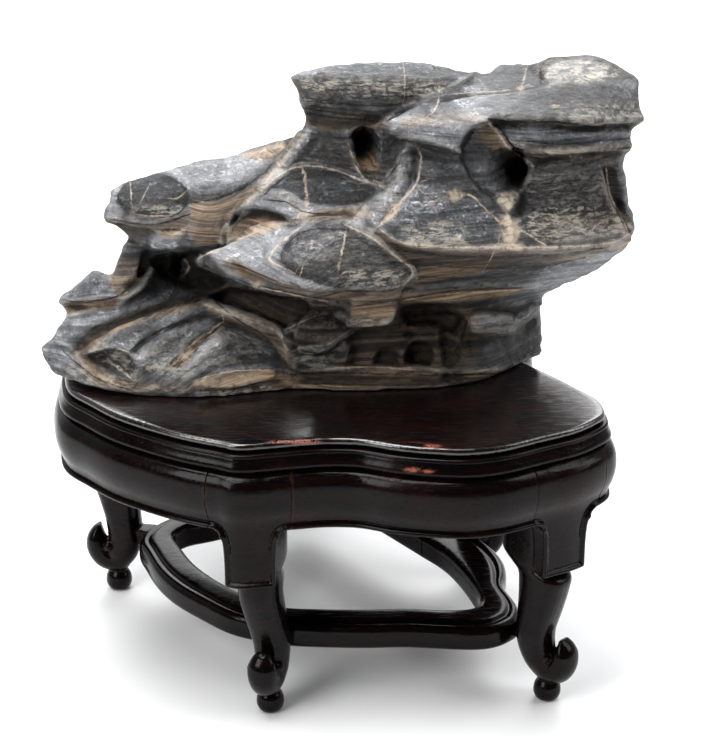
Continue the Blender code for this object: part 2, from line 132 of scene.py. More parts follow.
class Outline:
    """Closed smooth curve addressed by arc length."""

    def __init__(self, anchors):
        self.pts = spline(anchors, 10, closed=True)
        ends = np.concatenate((self.pts, self.pts[:1]))
        steps = np.linalg.norm(np.diff(ends, axis=0), axis=1)
        self.cum = np.concatenate(((0.0,), np.cumsum(steps)))
        self.length = self.cum[-1]
        self.ends = ends

    def point(self, s):
        """Place at arc length s."""
        s = np.asarray(s, float) % self.length
        return np.stack([np.interp(s, self.cum, self.ends[:, k]) for k in (0, 1)], -1)

    def offset(self, s, d):
        """Place at arc length s, moved d outwards."""
        tangent = self.point(np.asarray(s) + 3) - self.point(np.asarray(s) - 3)
        tangent /= np.linalg.norm(tangent, axis=-1, keepdims=True)
        out = np.stack((tangent[..., 1], -tangent[..., 0]), -1)
        return self.point(s) + out * np.asarray(d, float)[..., None]

    def nearest(self, target):
        """Arc length of the place nearest to target, to the whole millimetre."""
        s = np.arange(int(self.length))
        return int(np.argmin(np.linalg.norm(self.point(s) - np.asarray(target, float), axis=1)))


def new_object(name, bm):
    bmesh.ops.recalc_face_normals(bm, faces=bm.faces)
    me = bpy.data.meshes.new(name)
    bm.to_mesh(me)
    bm.free()
    ob = bpy.data.objects.new(name, me)
    bpy.context.scene.collection.objects.link(ob)
    return ob


def grid_mesh(bm, rows):
    """Closed shell over a run of equal closed loops of points, with a cap at each end."""
    loops = [[bm.verts.new(p) for p in (np.asarray(row) * MM).tolist()] for row in rows]
    for a, b in zip(loops, loops[1:]):
        for i in range(len(a)):
            j = (i + 1) % len(a)
            bm.faces.new((a[i], a[j], b[j], b[i]))
    bm.faces.new(loops[0])
    bm.faces.new(loops[-1][::-1])


def stitch(bm, a, b):
    """Faces between two equal open runs of vertices."""
    for i in range(len(a) - 1):
        bm.faces.new((a[i], a[i + 1], b[i + 1], b[i]))


def apply_modifiers(ob):
    graph = bpy.context.evaluated_depsgraph_get()
    me = bpy.data.meshes.new_from_object(ob.evaluated_get(graph))
    me.name = ob.name
    ob.modifiers.clear()
    ob.data = me


def fuse(ob, voxel, smoothing):
    """Melt overlapping closed shells into one skin."""
    mod = ob.modifiers.new("fuse", "REMESH")
    mod.mode = "VOXEL"
    mod.voxel_size = voxel * MM
    soft = ob.modifiers.new("soften", "SMOOTH")
    soft.factor, soft.iterations = 0.5, smoothing
    apply_modifiers(ob)


def thin(ob, triangles):
    """Decimate down to about this many triangles."""
    mod = ob.modifiers.new("thin", "DECIMATE")
    mod.ratio = min(1.0, triangles / sum(len(p.vertices) - 2 for p in ob.data.polygons))
    apply_modifiers(ob)


def shade(ob, material, angle=None):
    ob.data.materials.clear()
    ob.data.materials.append(material)
    ob.data.polygons.foreach_set("use_smooth", [True] * len(ob.data.polygons))
    if angle:
        ob.data.set_sharp_from_angle(angle=math.radians(angle))


def finish_piece(ob, node):
    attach(ob, "root")
    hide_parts(node)


# ---- materials -----------------------------------------------------------------------
class Nodes:
    """Short-hand for building a node tree."""

    def __init__(self, name):
        self.material = bpy.data.materials.new(name)
        self.material.use_nodes = True
        self.tree = self.material.node_tree
        self.tree.nodes.clear()

    def add(self, kind, inputs=(), **settings):
        node = self.tree.nodes.new(kind)
        for key, value in settings.items():
            setattr(node, key, value)
        for key, value in dict(inputs).items():
            if isinstance(value, bpy.types.NodeSocket):
                self.tree.links.new(value, node.inputs[key])
            else:
                node.inputs[key].default_value = value
        return node

    def math(self, operation, a, b=0.0, clamp=False):
        return self.add("ShaderNodeMath", {0: a, 1: b}, operation=operation, use_clamp=clamp).outputs[0]

    def times(self, a, b):
        return self.math("MULTIPLY", a, b)

    def plus(self, a, b):
        return self.math("ADD", a, b)

    def less(self, a, b):
        return self.math("SUBTRACT", a, b)

    def larger(self, a, b):
        return self.math("MAXIMUM", a, b)

    def mix(self, factor, a, b):
        node = self.add("ShaderNodeMix", {0: factor}, data_type="RGBA")
        for socket, value in ((node.inputs[6], a), (node.inputs[7], b)):
            if isinstance(value, bpy.types.NodeSocket):
                self.tree.links.new(value, socket)
            else:
                socket.default_value = (*value, 1.0)
        return node.outputs[2]

    def scale(self, colour, factor):
        inputs = {0: colour, "Scale": factor}
        return self.add("ShaderNodeVectorMath", inputs, operation="SCALE").outputs[0]

    def ramp(self, value, low, high, out_low=0.0, out_high=1.0):
        node = self.add("ShaderNodeMapRange", {"Value": value, "From Min": low, "From Max": high,
                                               "To Min": out_low, "To Max": out_high},
                        interpolation_type="SMOOTHSTEP")
        return node.outputs[0]

    def noise(self, vector, scale, detail=4.0, rough=0.55, distortion=0.0):
        node = self.add("ShaderNodeTexNoise", {"Vector": vector, "Scale": scale, "Detail": detail,
                                               "Roughness": rough, "Distortion": distortion})
        return node.outputs[0]

    def attribute(self, name):
        return self.add("ShaderNodeAttribute", attribute_name=name).outputs["Fac"]

    def position(self, scale=(1.0, 1.0, 1.0), rotation=(0.0, 0.0, 0.0)):
        where = self.add("ShaderNodeTexCoord").outputs["Object"]
        inputs = {"Vector": where, "Scale": scale, "Rotation": rotation}
        return self.add("ShaderNodeMapping", inputs).outputs[0]

    def bump(self, height, distance, strength, normal=None):
        inputs = {"Height": height, "Distance": distance, "Strength": strength}
        if normal is not None:
            inputs["Normal"] = normal
        return self.add("ShaderNodeBump", inputs).outputs[0]

    def principled(self, inputs):
        shader = self.add("ShaderNodeBsdfPrincipled", inputs)
        output = self.add("ShaderNodeOutputMaterial")
        self.tree.links.new(shader.outputs[0], output.inputs[0])
        return self.material


# linear colours of the lacquered wood
WOOD_BLACK = (0.0016, 0.0012, 0.0013)
WOOD_GRAIN = (0.0065, 0.0022, 0.0020)
WOOD_PATCH = (0.014, 0.0038, 0.003)
WOOD_BOARD = (0.011, 0.0022, 0.0018)
WOOD_PORE = (0.0010, 0.0008, 0.0008)
WOOD_RUBBED = (0.050, 0.015, 0.010)
WOOD_CHIPPED = (0.30, 0.085, 0.055)
BOARD_SPECULAR = 0.9
WOOD_SPECULAR = 0.13


def lacquered_wood(name, grain_turn, flat_top=False):
    """Blackish red hardwood under old lacquer: short dark pores, worn reddish arrises."""
    n = Nodes(name)
    along = n.position(scale=(18.0, 260.0, 260.0), rotation=(0.0, 0.0, grain_turn))
    fine = n.position(scale=(70.0, 1300.0, 1300.0), rotation=(0.0, 0.0, grain_turn))
    grain = n.noise(along, 1.0, detail=5.0, rough=0.6, distortion=0.4)
    pores = n.noise(fine, 1.0, detail=2.0, rough=0.5)
    patches = n.noise(n.position(), 26.0, detail=4.0)
    specks = n.noise(n.position(), 900.0, detail=3.0)
    wear = n.attribute("wear")
    base = n.mix(n.ramp(grain, 0.35, 0.75), WOOD_BLACK, WOOD_GRAIN)
    base = n.mix(n.times(n.ramp(patches, 0.52, 0.74), 0.5), base, WOOD_PATCH)
    if flat_top:
        base = n.mix(n.ramp(grain, 0.42, 0.70, 0.0, 0.8), base, WOOD_BOARD)
    base = n.mix(n.times(n.ramp(pores, 0.56, 0.66), 0.8), base, WOOD_PORE)
    edge = n.add("ShaderNodeNewGeometry").outputs["Pointiness"]
    rubbed = n.times(n.ramp(edge, 0.53, 0.60), n.ramp(patches, 0.44, 0.62))
    base = n.mix(n.times(rubbed, 0.5), base, WOOD_RUBBED)
    broken = n.times(wear, n.ramp(specks, 0.38, 0.55))
    base = n.mix(broken, base, WOOD_CHIPPED)
    rough = n.ramp(n.plus(patches, n.times(specks, 0.35)), 0.45, 0.95, 0.10, 0.24)
    rough = n.plus(rough, n.times(n.ramp(pores, 0.56, 0.68), 0.25))
    rough = n.math("ADD", rough, n.times(broken, 0.4), clamp=True)
    normal = n.bump(pores, 0.00016 if flat_top else 0.00005, 0.6)
    normal = n.bump(patches, 0.0008, 0.2, normal)
    normal = n.bump(n.noise(n.position(), 210.0, detail=3.0), 0.00015, 0.3, normal)
    return n.principled({"Base Color": base, "Roughness": rough, "Normal": normal,
                         "Specular IOR Level": BOARD_SPECULAR if flat_top else WOOD_SPECULAR})


# ---- stand ---------------------------------------------------------------------------
def set_attribute(ob, name, values):
    layer = ob.data.attributes.new(name, "FLOAT", "POINT")
    layer.data.foreach_set("value", np.asarray(values, np.float32))


def vertex_array(ob):
    co = np.empty(len(ob.data.vertices) * 3)
    ob.data.vertices.foreach_get("co", co)
    return co.reshape(-1, 3)


# worn places on the stand: centre in photograph pixels and reach in pixels
WEAR_SPOTS = {
    "long_chip": ((304, 442), (15, 2.6)),
    "long_chip_start": ((283, 442), (14, 1.6)),
    "edge_chip": ((433, 446), (8, 2.8)),
    "tier_chip": ((412, 470), (7, 2.6)),
    "tier_chip_right": ((428, 471.5), (6, 1.8)),
    "apron_nick": ((398, 478), (6, 1.5)),
}


def mark_wear(ob):
    px, _ = to_pixels(vertex_array(ob) / MM)
    wear = np.zeros(len(px))
    for centre, reach in WEAR_SPOTS.values():
        distance = np.linalg.norm((px - centre) / reach, axis=1)
        wear = np.maximum(wear, np.clip(1.6 - 1.2 * distance, 0, 1))
    set_attribute(ob, "wear", wear)


SLAB_STEP = 1.6                # length along the rim from one row of vertices to the next
CAP_INSET = 2.0                # flat caps get a border of this width, so that their edge stays crisp


def slab(name, rim, profile):
    """Plate with the rim's outline; profile is its edge as (outwards, height)."""
    bm = bmesh.new()
    s = np.arange(0, rim.length, rim.length / round(rim.length / SLAB_STEP))
    rows = []
    for d, z in spline(profile, 4):
        rows.append(np.column_stack((rim.offset(s, np.full(len(s), d)), np.full(len(s), z))))
    grid_mesh(bm, rows)
    for face in [f for f in bm.faces if len(f.verts) > 4]:
        bmesh.ops.inset_region(bm, faces=[face], thickness=CAP_INSET * MM, use_even_offset=True)
    return new_object(name, bm)


# the wall's section: (height, how far it stands out from the rim)
SWELL = [
    (APRON_TOP + 4, -2.0), (APRON_TOP, 1.4), (172.3, 4.6), (168, 7.2), (162, 8.2), (156, 8.0),
    (150, 6.6), (144.5, 4.4), (139, 3.0), (132, 2.2), (124, 1.6), (112, 1.2), (90, 1.0),
]
# the carved border: (distance from the wall's lower edge, how much the wood stands out there)
BEAD = [
    (0.0, 0.6), (0.5, 1.5), (1.2, 2.0), (2.0, 2.0), (2.7, 1.5), (3.2, 0.5), (3.5, -0.5), (4.1, -0.6),
    (4.8, 0.0), (6.0, 0.0),
]
SWELL_CURVE = spline(SWELL, 8)[::-1]
BEAD_CURVE = spline(BEAD, 6)
CURLS = [(-16.4, 132.6), (16.4, 132.6)]        # bosses beside the panel, as (along, height)
CURL_HEIGHT = 1.3
CURL_SPREAD = 2.2
WALL_ROWS = 22


def wall(name, rim, start, end, edge, centre=0.0):
    """Carved wall between two places on the rim; edge is its lower outline as (along, height)."""
    edge = np.asarray(edge, float)
    step = np.diff(edge, axis=0)
    step /= np.linalg.norm(step, axis=1, keepdims=True)
    inward = np.stack((-step[:, 1], step[:, 0]), 1)
    mitre = np.concatenate((((0.0, 1.0),), inward[:-1] + inward[1:], ((0.0, 1.0),)))
    neighbour = np.concatenate((inward, inward[-1:]))
    mitre /= np.maximum(0.35, np.sum(mitre * neighbour, 1, keepdims=True))
    rows = [edge + mitre * d for d in BEAD_CURVE[:, 0]]
    inner = rows[-1]
    level = np.linspace(edge[0, 0], edge[-1, 0], len(edge))
    top = np.column_stack((level, np.full(len(edge), APRON_TOP)))
    rows += [inner + (top - inner) * t for t in np.linspace(0, 1, WALL_ROWS)[1:]]
    stand_out = list(BEAD_CURVE[:, 1]) + [0.0] * (WALL_ROWS - 1)

    def place(points, out):
        along = np.clip(points[:, 0], start, end)
        d = np.interp(points[:, 1], SWELL_CURVE[:, 0], SWELL_CURVE[:, 1]) + out
        for s, z in CURLS:
            square = (points[:, 0] - s) ** 2 + (points[:, 1] - z) ** 2
            d = d + CURL_HEIGHT * np.exp(-square / CURL_SPREAD)
        return np.column_stack((rim.offset(along + centre, d), points[:, 1]))

    front = [place(points, out) for points, out in zip(rows, stand_out)]
    back = []
    for points in rows:
        along = np.clip(points[:, 0], start, end)
        behind = rim.offset(along + centre, np.full(len(along), -WALL_T))
        back.append(np.column_stack((behind, points[:, 1])))
    bm = bmesh.new()
    grids = [[[bm.verts.new(p) for p in (row * MM).tolist()] for row in side] for side in (front, back)]
    for grid in grids:
        for a, b in zip(grid, grid[1:]):
            stitch(bm, a, b)
    for k in (0, -1):
        stitch(bm, grids[0][k], grids[1][k])
        stitch(bm, [row[k] for row in grids[0]], [row[k] for row in grids[1]])
    return new_object(name, bm)


def panel_edge():
    """Lower outline of a leg's wall: level, round the shoulder, down the panel and across."""
    corner = [
        (-PANEL_END, APRON_BOTTOM), (-22.5, APRON_BOTTOM), (-20.5, 136.6), (-18.3, 135.2),
        (-16.5, 132.2), (-15.6, 128), (-15.2, 122), (-PANEL_HALF, 114), (-PANEL_HALF, 106),
        (-PANEL_HALF, 101), (-14.6, 99.6), (-13.4, PANEL_BOTTOM), (-8, PANEL_BOTTOM), (0, PANEL_BOTTOM),
    ]
    left = spline(corner, 6)
    return np.concatenate((left, left[-2::-1] * (-1, 1)))


# the shaft below its block: (height, front, back, half width)
SHAFT = [
    (93, 18, -15, 13.0), (84, 17.5, -14, 12.6), (68, 13, -14, 12.2), (52, 8, -15.5, 11.4),
    (38, 6, -16.5, 10.4), (26, 7, -13.5, 9.6), (18, 6.5, -8, 7.4), (12, 4, -4, 4.0),
]
BLOCK_DEPTH = 34.0
BLOCK_HALF = 13.8
SHAFT_SIDES = 28
# the scroll's middle line: (outwards, height, half thickness)
SCROLL = [
    (-4, 25, 9.0), (2, 22.5, 9.2), (8, 24, 9.2), (12.5, 29.5, 8.2), (14, 36, 6.6), (13.2, 42, 4.2),
    (11.6, 46.6, 1.0),
]
SCROLL_HALF = 9.2
SCROLL_SIDES = 20
# the ball foot: (radius as a share of FOOT_R, height)
BALL = [
    (0.0, 0), (0.5, 0), (0.80, 1.2), (0.97, 4), (1.0, 7), (0.93, 10.4), (0.74, 13.2), (0.5, 15.0),
    (0.4, 17),
]
BALL_SIDES = 24
# round buttons on the scroll's two sides
BUTTON_R = 3.4
BUTTON_OUT = 4.6
BUTTON_SIDE = 7.6
BUTTON_Z = 34.0
# tongue that carries the leg back to the ring
TONGUE_START = 6
TONGUE_SIDE = 5.5
TONGUE_LOW, TONGUE_HIGH = 36, 46
TONGUE_SHORTEST, TONGUE_LONGEST, TONGUE_STEP = 8.0, 30, 0.25


def around(sides, start=0.0):
    """Angles of equal steps round a circle."""
    return 2 * np.pi * (np.arange(sides) + start) / sides


def shaft_rows(reach, shift, turn_z):
    """Sections of the shaft, square behind the panel and rounder below it."""
    block = [(z, reach, reach - BLOCK_DEPTH, BLOCK_HALF) for z in (APRON_TOP - 1, 150, 126, 108)]
    block += [(102.5, reach - 0.6, reach - BLOCK_DEPTH + 1.5, BLOCK_HALF - 0.2),
              (98.5, reach - 2.5, reach - BLOCK_DEPTH + 5, BLOCK_HALF - 0.8)]
    rows = []
    a = around(SHAFT_SIDES, 0.5)
    c, s = np.cos(a), np.sin(a)
    for z, front, back, half in spline(block + SHAFT, 5):
        power = np.interp(z, (94, 106), (0.82, 0.36))
        slide = shift * min(1.0, max(0.0, (z - turn_z) / 35))
        x = (front + back) / 2 + (front - back) / 2 * np.copysign(np.abs(c) ** power, c)
        y = slide + half * np.copysign(np.abs(s) ** power, s)
        rows.append(np.column_stack((x, y, np.full(len(x), z))))
    return rows


def scroll_rows():
    """Sections along the scroll that curls up in front of the shaft."""
    path = spline(SCROLL, 5)
    heading = np.gradient(path[:, :2], axis=0)
    side = np.stack((heading[:, 1], -heading[:, 0]), 1) / np.linalg.norm(heading, axis=1, keepdims=True)
    a = around(SCROLL_SIDES)
    rows = []
    for (x, z, r), (sx, sz) in zip(path, side):
        half = SCROLL_HALF * min(1.0, 0.30 + r / 9)
        rows.append(np.column_stack((x + sx * r * np.cos(a), half * np.sin(a), z + sz * r * np.cos(a))))
    return rows


def ball_rows():
    a = around(BALL_SIDES)
    rows = []
    for r, z in spline(BALL, 4):
        height = np.full(BALL_SIDES, max(z, 0.0))
        rows.append(np.column_stack((r * FOOT_R * np.cos(a), r * FOOT_R * np.sin(a), height)))
    return rows


def leg(name, rim, ring):
    """One leg, with its panel, shaft, scroll and ball foot melted into one skin."""
    foot, target, facing, turn_z = LEGS[name]
    turn = math.radians(facing)
    foot = np.array(foot, float)
    out = np.array((math.sin(turn), -math.cos(turn)))
    along = np.array((math.cos(turn), math.sin(turn)))
    s = rim.nearest(target)
    to_panel = rim.offset(s, -7) - foot
    body = wall("leg_" + name + "_carved", rim, -PANEL_END, PANEL_END, panel_edge(), s)

    def local(rows):
        placed = []
        for row in rows:
            flat = foot + row[:, :1] * out + row[:, 1:2] * along
            placed.append(np.column_stack((flat, row[:, 2])))
        return placed

    bm = bmesh.new()
    bm.from_mesh(body.data)
    grid_mesh(bm, local(shaft_rows(to_panel @ out, to_panel @ along, turn_z)))
    grid_mesh(bm, local(scroll_rows()))
    grid_mesh(bm, local(ball_rows()))
    for y in (-BUTTON_SIDE, BUTTON_SIDE):
        button = bmesh.ops.create_icosphere(bm, subdivisions=2, radius=BUTTON_R * MM)["verts"]
        where = foot + out * BUTTON_OUT + along * y
        bmesh.ops.translate(bm, verts=button, vec=Vector((where[0], where[1], BUTTON_Z)) * MM)
    sections = []
    for y in (-TONGUE_SIDE, TONGUE_SIDE):
        reach = TONGUE_SHORTEST
        while reach < TONGUE_LONGEST:
            tip = foot + along * y - out * (reach + CRACK)
            near_tip = ring.nearest(tip)
            edge = ring.point(near_tip)
            if (tip - edge) @ (ring.offset(near_tip, 1) - edge) < 0:
                break
            reach += TONGUE_STEP
        sections.append(np.array([(-TONGUE_START, y, TONGUE_LOW), (-TONGUE_START, y, TONGUE_HIGH),
                                  (-reach, y, TONGUE_HIGH), (-reach, y, TONGUE_LOW)], float))
    grid_mesh(bm, local(sections))
    bm.to_mesh(body.data)
    bm.free()
    fuse(body, LEG_VOXEL, 2)
    thin(body, LEG_TRIANGLES)
    shade(body, lacquered_wood("wood_leg_" + name, 0.0), angle=50)
    return body, s


# the ring's section: (share of the way from its outer edge to its hole, height above RING_BOTTOM)
RING_PROFILE = [
    (0.10, 0), (0.02, 2), (0.0, 7), (0.02, 12), (0.09, 14.6), (0.17, 15.4), (0.235, 15.2), (0.29, 15.3),
    (0.36, 16.6), (0.50, RING_T), (0.80, RING_T), (0.93, 16.2), (1.0, 14), (1.0, 7), (0.98, 2), (0.90, 0),
]
RING_STEP = 2.5
WALL_STEP = 2.2


def stretcher(name, ring, hole, s0, s1):
    """Part of the ring from one leg to the next."""
    bm = bmesh.new()
    profile = spline(RING_PROFILE, 3)
    rows = []
    for s in np.linspace(s0, s1, max(3, round((s1 - s0) / RING_STEP))):
        outer = ring.point(s)
        inner = hole.point(hole.nearest(outer))
        across = outer + (inner - outer) * profile[:, :1]
        rows.append(np.column_stack((across, RING_BOTTOM + profile[:, 1])))
    # the nearest point on the hole moves in whole steps, so even it out along the run
    stack = np.stack(rows)
    for _ in range(6):
        stack[1:-1] = (stack[:-2] + 2 * stack[1:-1] + stack[2:]) / 4
    grid_mesh(bm, list(stack))
    return new_object(name, bm)


# edges of the board and of the moulding under it: (outwards, height above the piece's underside)
BOARD_EDGE = [
    (-4.0, 0), (-2.6, 0.1), (-1.5, 1.0), (-0.2, 2.2), (0.1, 3.6), (-0.4, 4.9), (-1.5, BOARD_T - 0.25),
    (-3.2, BOARD_T),
]
TIER_EDGE = [
    (-2, 0), (0.6, 0.2), (2.8, 0.9), (4.3, 2.6), (4.2, 4.4), (3.0, 7.0), (2.2, 9.0), (1.9, 9.7),
    (2.3, 10.4), (1.8, 11.4), (0.4, TIER_T), (-4, TIER_T),
]


def build_stand():
    rim, ring, hole = Outline(RIM), Outline(RING), Outline(RING_HOLE)
    board_low = TOP_Z - BOARD_T
    board = slab("top_board_lacquered", rim, [(out, board_low + z) for out, z in BOARD_EDGE])
    shade(board, lacquered_wood("wood_top_board", 0.35, flat_top=True), angle=50)
    tier_low = board_low - CRACK - TIER_T
    tier = slab("moulded_tier_lacquered", rim, [(out, tier_low + z) for out, z in TIER_EDGE])
    shade(tier, lacquered_wood("wood_tier", 0.2), angle=50)
    pieces = [(board, "top_board"), (tier, "moulded_tier")]
    stations = []
    for name in LEG_ORDER:
        body, s = leg(name, rim, ring)
        pieces.append((body, "leg_" + name))
        stations.append((name, s, ring.nearest(LEGS[name][0])))
    for (a, sa, ra), (b, sb, rb) in zip(stations, stations[1:] + stations[:1]):
        sb += rim.length if sb < sa else 0
        rb += ring.length if rb < ra else 0
        start = sa + PANEL_END + CRACK
        end = sb - PANEL_END - CRACK
        count = max(3, round((end - start) / WALL_STEP))
        edge = np.column_stack((np.linspace(start, end, count), np.full(count, APRON_BOTTOM)))
        apron = "apron_%s_to_%s" % (a, b)
        rail = wall(apron + "_carved", rim, start, end, edge)
        shade(rail, lacquered_wood("wood_" + apron, 0.1), angle=40)
        pieces.append((rail, apron))
        part = "stretcher_%s_to_%s" % (a, b)
        bar = stretcher(part + "_carved", ring, hole, ra + CRACK / 2, rb - CRACK / 2)
        shade(bar, lacquered_wood("wood_" + part, 0.0), angle=50)
        pieces.append((bar, part))
    for ob, node in pieces:
        mark_wear(ob)
        finish_piece(ob, node)


# ---- rock ----------------------------------------------------------------------------
def traced(table):
    """The table with each drawn line, written as "12,30 45,30", turned into a list of points."""
    drawn = {}
    for name, (line, *rest) in table.items():
        if isinstance(line, str):
            line = [tuple(map(float, pair.split(","))) for pair in line.split()]
        drawn[name] = (line, *rest)
    return drawn


# Everything the stone shows is placed by named strokes and patches, in pixels of the photograph, and
# pressed into the surface that the camera sees there.
BLOCK_VOXEL = 1.6
VOXEL = 1.3
ROCK_TRIANGLES = 190000
PUSH_BED, SCULPT_BED = 4, 3    # heights above the board under which the flat bed stays as it is
# how far past an area's or a line's own box the skin is measured, in pixels
LEVEL_MARGIN, AREA_MARGIN, PATCH_MARGIN, LINE_MARGIN = 6, 10, 8, 14
SCULPT_SEED = 4
PAINT_SEED = 9

# name: (points, half width in pixels, height in millimetres; a groove is negative)
STROKES = traced({
    "nose_top_ridge": ("198,259 228,245 262,229 288,223 314,221 348,222 372,231", 4.2, 3),
    "nose_lower_ridge": ("198,260 226,271 262,286 290,293 318,299 340,301", 3.4, 2.3),
    "nose_under_groove": ("232,262 256,277 292,288 330,291 366,293", 3.4, -2.6),
    "facet_rim_left": ("322,226 288,238 273,252 271,262 292,277 330,291", 3.4, 2.5),
    "facet_rim_right": ("348,226 372,238 394,255 414,271 404,284", 3, 3.6),
    "facet_rim_bottom": ("300,281 340,290 372,290 404,284", 2.5, 1.6),
    "nose_saddle": ("282,227 297,224 318,216 352,211", 3.4, -2),
    "arch_rim": ("262,191 273,180 290,169 313,166 338,171 361,180 384,188", 3, 3),
    "arch_lower_rim": ("262,192 287,194 306,205 340,209 366,205", 3.4, 2),
    "column_left_ridge": ("308,131 294,148 269,178 260,192 237,210 226,230 220,243", 4.2, 4),
    "column_left_groove": ("318,134 304,152 282,174", 3.4, -2),
    "cave1_rim": ("349,138 350,152 356,166 366,179 385,186 402,178 407,162", 3, 2.6),
    "brown_fold": ("228,222 258,214 292,222", 4.2, -2.3),
    "arm_top_ridge": ("170,171 205,165 245,158 284,146", 4.2, 1.6),
    "arm_mid_groove": ("196,200 222,196 250,184 270,168", 3.4, -1.3),
    "arm_end_chin": ("106,217 124,219 150,222 172,216 190,206", 3.4, 1.6),
    "arm_chin_groove": ("114,226 136,232 154,232", 3.4, -2.6),
    "slab_crest": ("384,121 403,108 437,95 463,82 488,69 511,62 524,64", 3.4, 2.6),
    "slab_line": ("440,101 470,94 511,90 552,82", 2.5, -1.3),
    "slab_lower_edge": ("384,122 400,136 420,137 444,144 462,153", 3, 2.6),
    "slab_dark_line": ("489,120 510,123 548,123 592,128 640,126", 2.5, -4),
    "slab_hip": ("489,116 520,117 560,117 600,121 640,118", 3.4, 2.3),
    "upper_band_edge": ("500,143 536,152 574,149 632,145", 2.5, 3),
    "upper_band_groove": ("506,149 536,158 576,156 628,152", 3, -2.6),
    "band_mid_groove": ("520,137 550,141 590,139 632,137", 2.2, -1.2),
    "cap_front_edge": ("296,74 330,76 372,79 410,80 446,82", 3.4, 2),
    "cap_waist": ("306,120 340,124 376,118 410,108", 4.2, -2.6),
    "cap_line": ("312,106 340,112 374,114", 2.5, -1.3),
    "slab_back_cleft": ("524,64 536,72 545,80", 2.5, -2),
    "cave2_left_edge": ("474,130 466,142 463,155 474,180 498,203 507,213", 2.5, -1.4),
    "cave2_right_rim": ("490,123 500,136 508,148 529,161 530,175 521,190", 2.5, 2.6),
    "star_spur": ("507,212 510,225 512,240", 3.4, 2.3),
    "strip_ridge": ("407,150 402,168 390,190 372,206 354,226", 4.2, 3.6),
    "strip_groove": ("414,150 412,176 398,200 380,222", 3.4, -2),
    "lip_edge": ("380,229 403,243 444,248 500,248 556,248 610,244 632,234", 3.4, 3.3),
    "lip_under_groove": ("392,246 440,256 500,257 560,255 606,250", 3.4, -2),
    "under_ledge_a": ("388,262 430,264 480,268 530,266 575,262", 2.5, -1.3),
    "under_ledge_b": ("350,300 400,293 450,285 500,284 540,286", 3, 2),
    "right_edge_groove": ("605,166 612,190 620,212 630,234", 2.5, -2.6),
    "right_edge_ridge": ("600,166 606,192 614,214 625,238", 2.5, 2),
    "wall_low_ledge": ("536,214 570,218 612,216", 3.4, -1.2),
    "horn_ridge": ("542,298 530,308 516,320 510,332", 2.5, 3),
    "horn_groove": ("548,305 536,320 524,332", 3.4, -2),
    "recess_edge": ("212,296 240,312 262,322 288,326", 2.5, -1.6),
    "block_top_line": ("288,329 306,320 330,311 348,322", 2.2, 2),
    "block_low_line": ("294,351 303,347 326,345 350,330", 2.2, 2.3),
    "foot_ledge": ("298,372 340,369 380,369 420,369 460,372 520,368", 3, 2),
    "foot_under": ("300,381 350,378 410,378 470,380", 3.4, -2),
    "peak_ledge": ("61,300 80,301 112,297 127,291", 2.5, 2.6),
    "peak_ledge_under": ("64,306 90,307 114,302", 3.4, -2.6),
    "fan_crest": ("60,318 84,312 112,301 134,294", 3.4, 2),
    "fan_groove_tan": ("72,352 87,338 116,324 152,310 180,302 208,294", 4.2, -4),
    "fan_groove_dark": ("86,334 114,321 152,306", 2.2, -1.6),
    "rib_groove_1": ("132,352 149,337 168,327 193,317", 2.5, -3),
    "rib_groove_2": ("170,366 187,350 197,340 222,323", 3, -3.3),
    "rib_1": ("92,350 122,330 160,314 196,306", 5.1, 2.6),
    "rib_2": ("140,360 166,340 196,324", 5.1, 2.3),
    "rib_3": ("190,366 214,346 240,334", 6, 2.6),
    "fan_border": ("203,303 221,311 250,321 275,331 287,346 296,377", 5, 5),
    "loop_top": ("284,334 296,327 318,316 334,310 350,322 352,332", 3, 2.6),
    "loop_low": ("352,332 336,342 318,347 300,350 294,362", 3, 2.6),
    "hook_curl": ("179,257 187,261 189,269 184,276 177,276", 2.6, 5),
    "nub_low_edge": ("350,321 372,325 388,321 396,314", 2.5, 2),
    "fan_border_groove": ("214,318 246,330 268,342 280,362", 3.4, -2.3),
    "pillar_ridge": ("152,268 142,284 130,296 118,304", 3.4, 3.3),
    "pillar_back_groove": ("145,262 140,276 126,290", 3, -3),
    "toe_ledge": ("196,386 212,377 234,369 272,367", 2.5, 2.3),
    "toe_low_edge": ("192,386 214,392 246,390 284,380", 2.5, -1.5),
    "chip_edge_a": ("85,353 100,350 113,347", 2.2, 2),
    "chip_edge_b": ("114,364 122,371 130,378", 2.2, 2),
    "chip_hollow": ("92,358 104,360 112,370", 4.2, -3),
    "chip_hollow_b": ("120,352 128,362", 4.2, -2.3),
    "left_tip_fold": ("58,340 74,350 84,368", 3.4, 1.6),
})

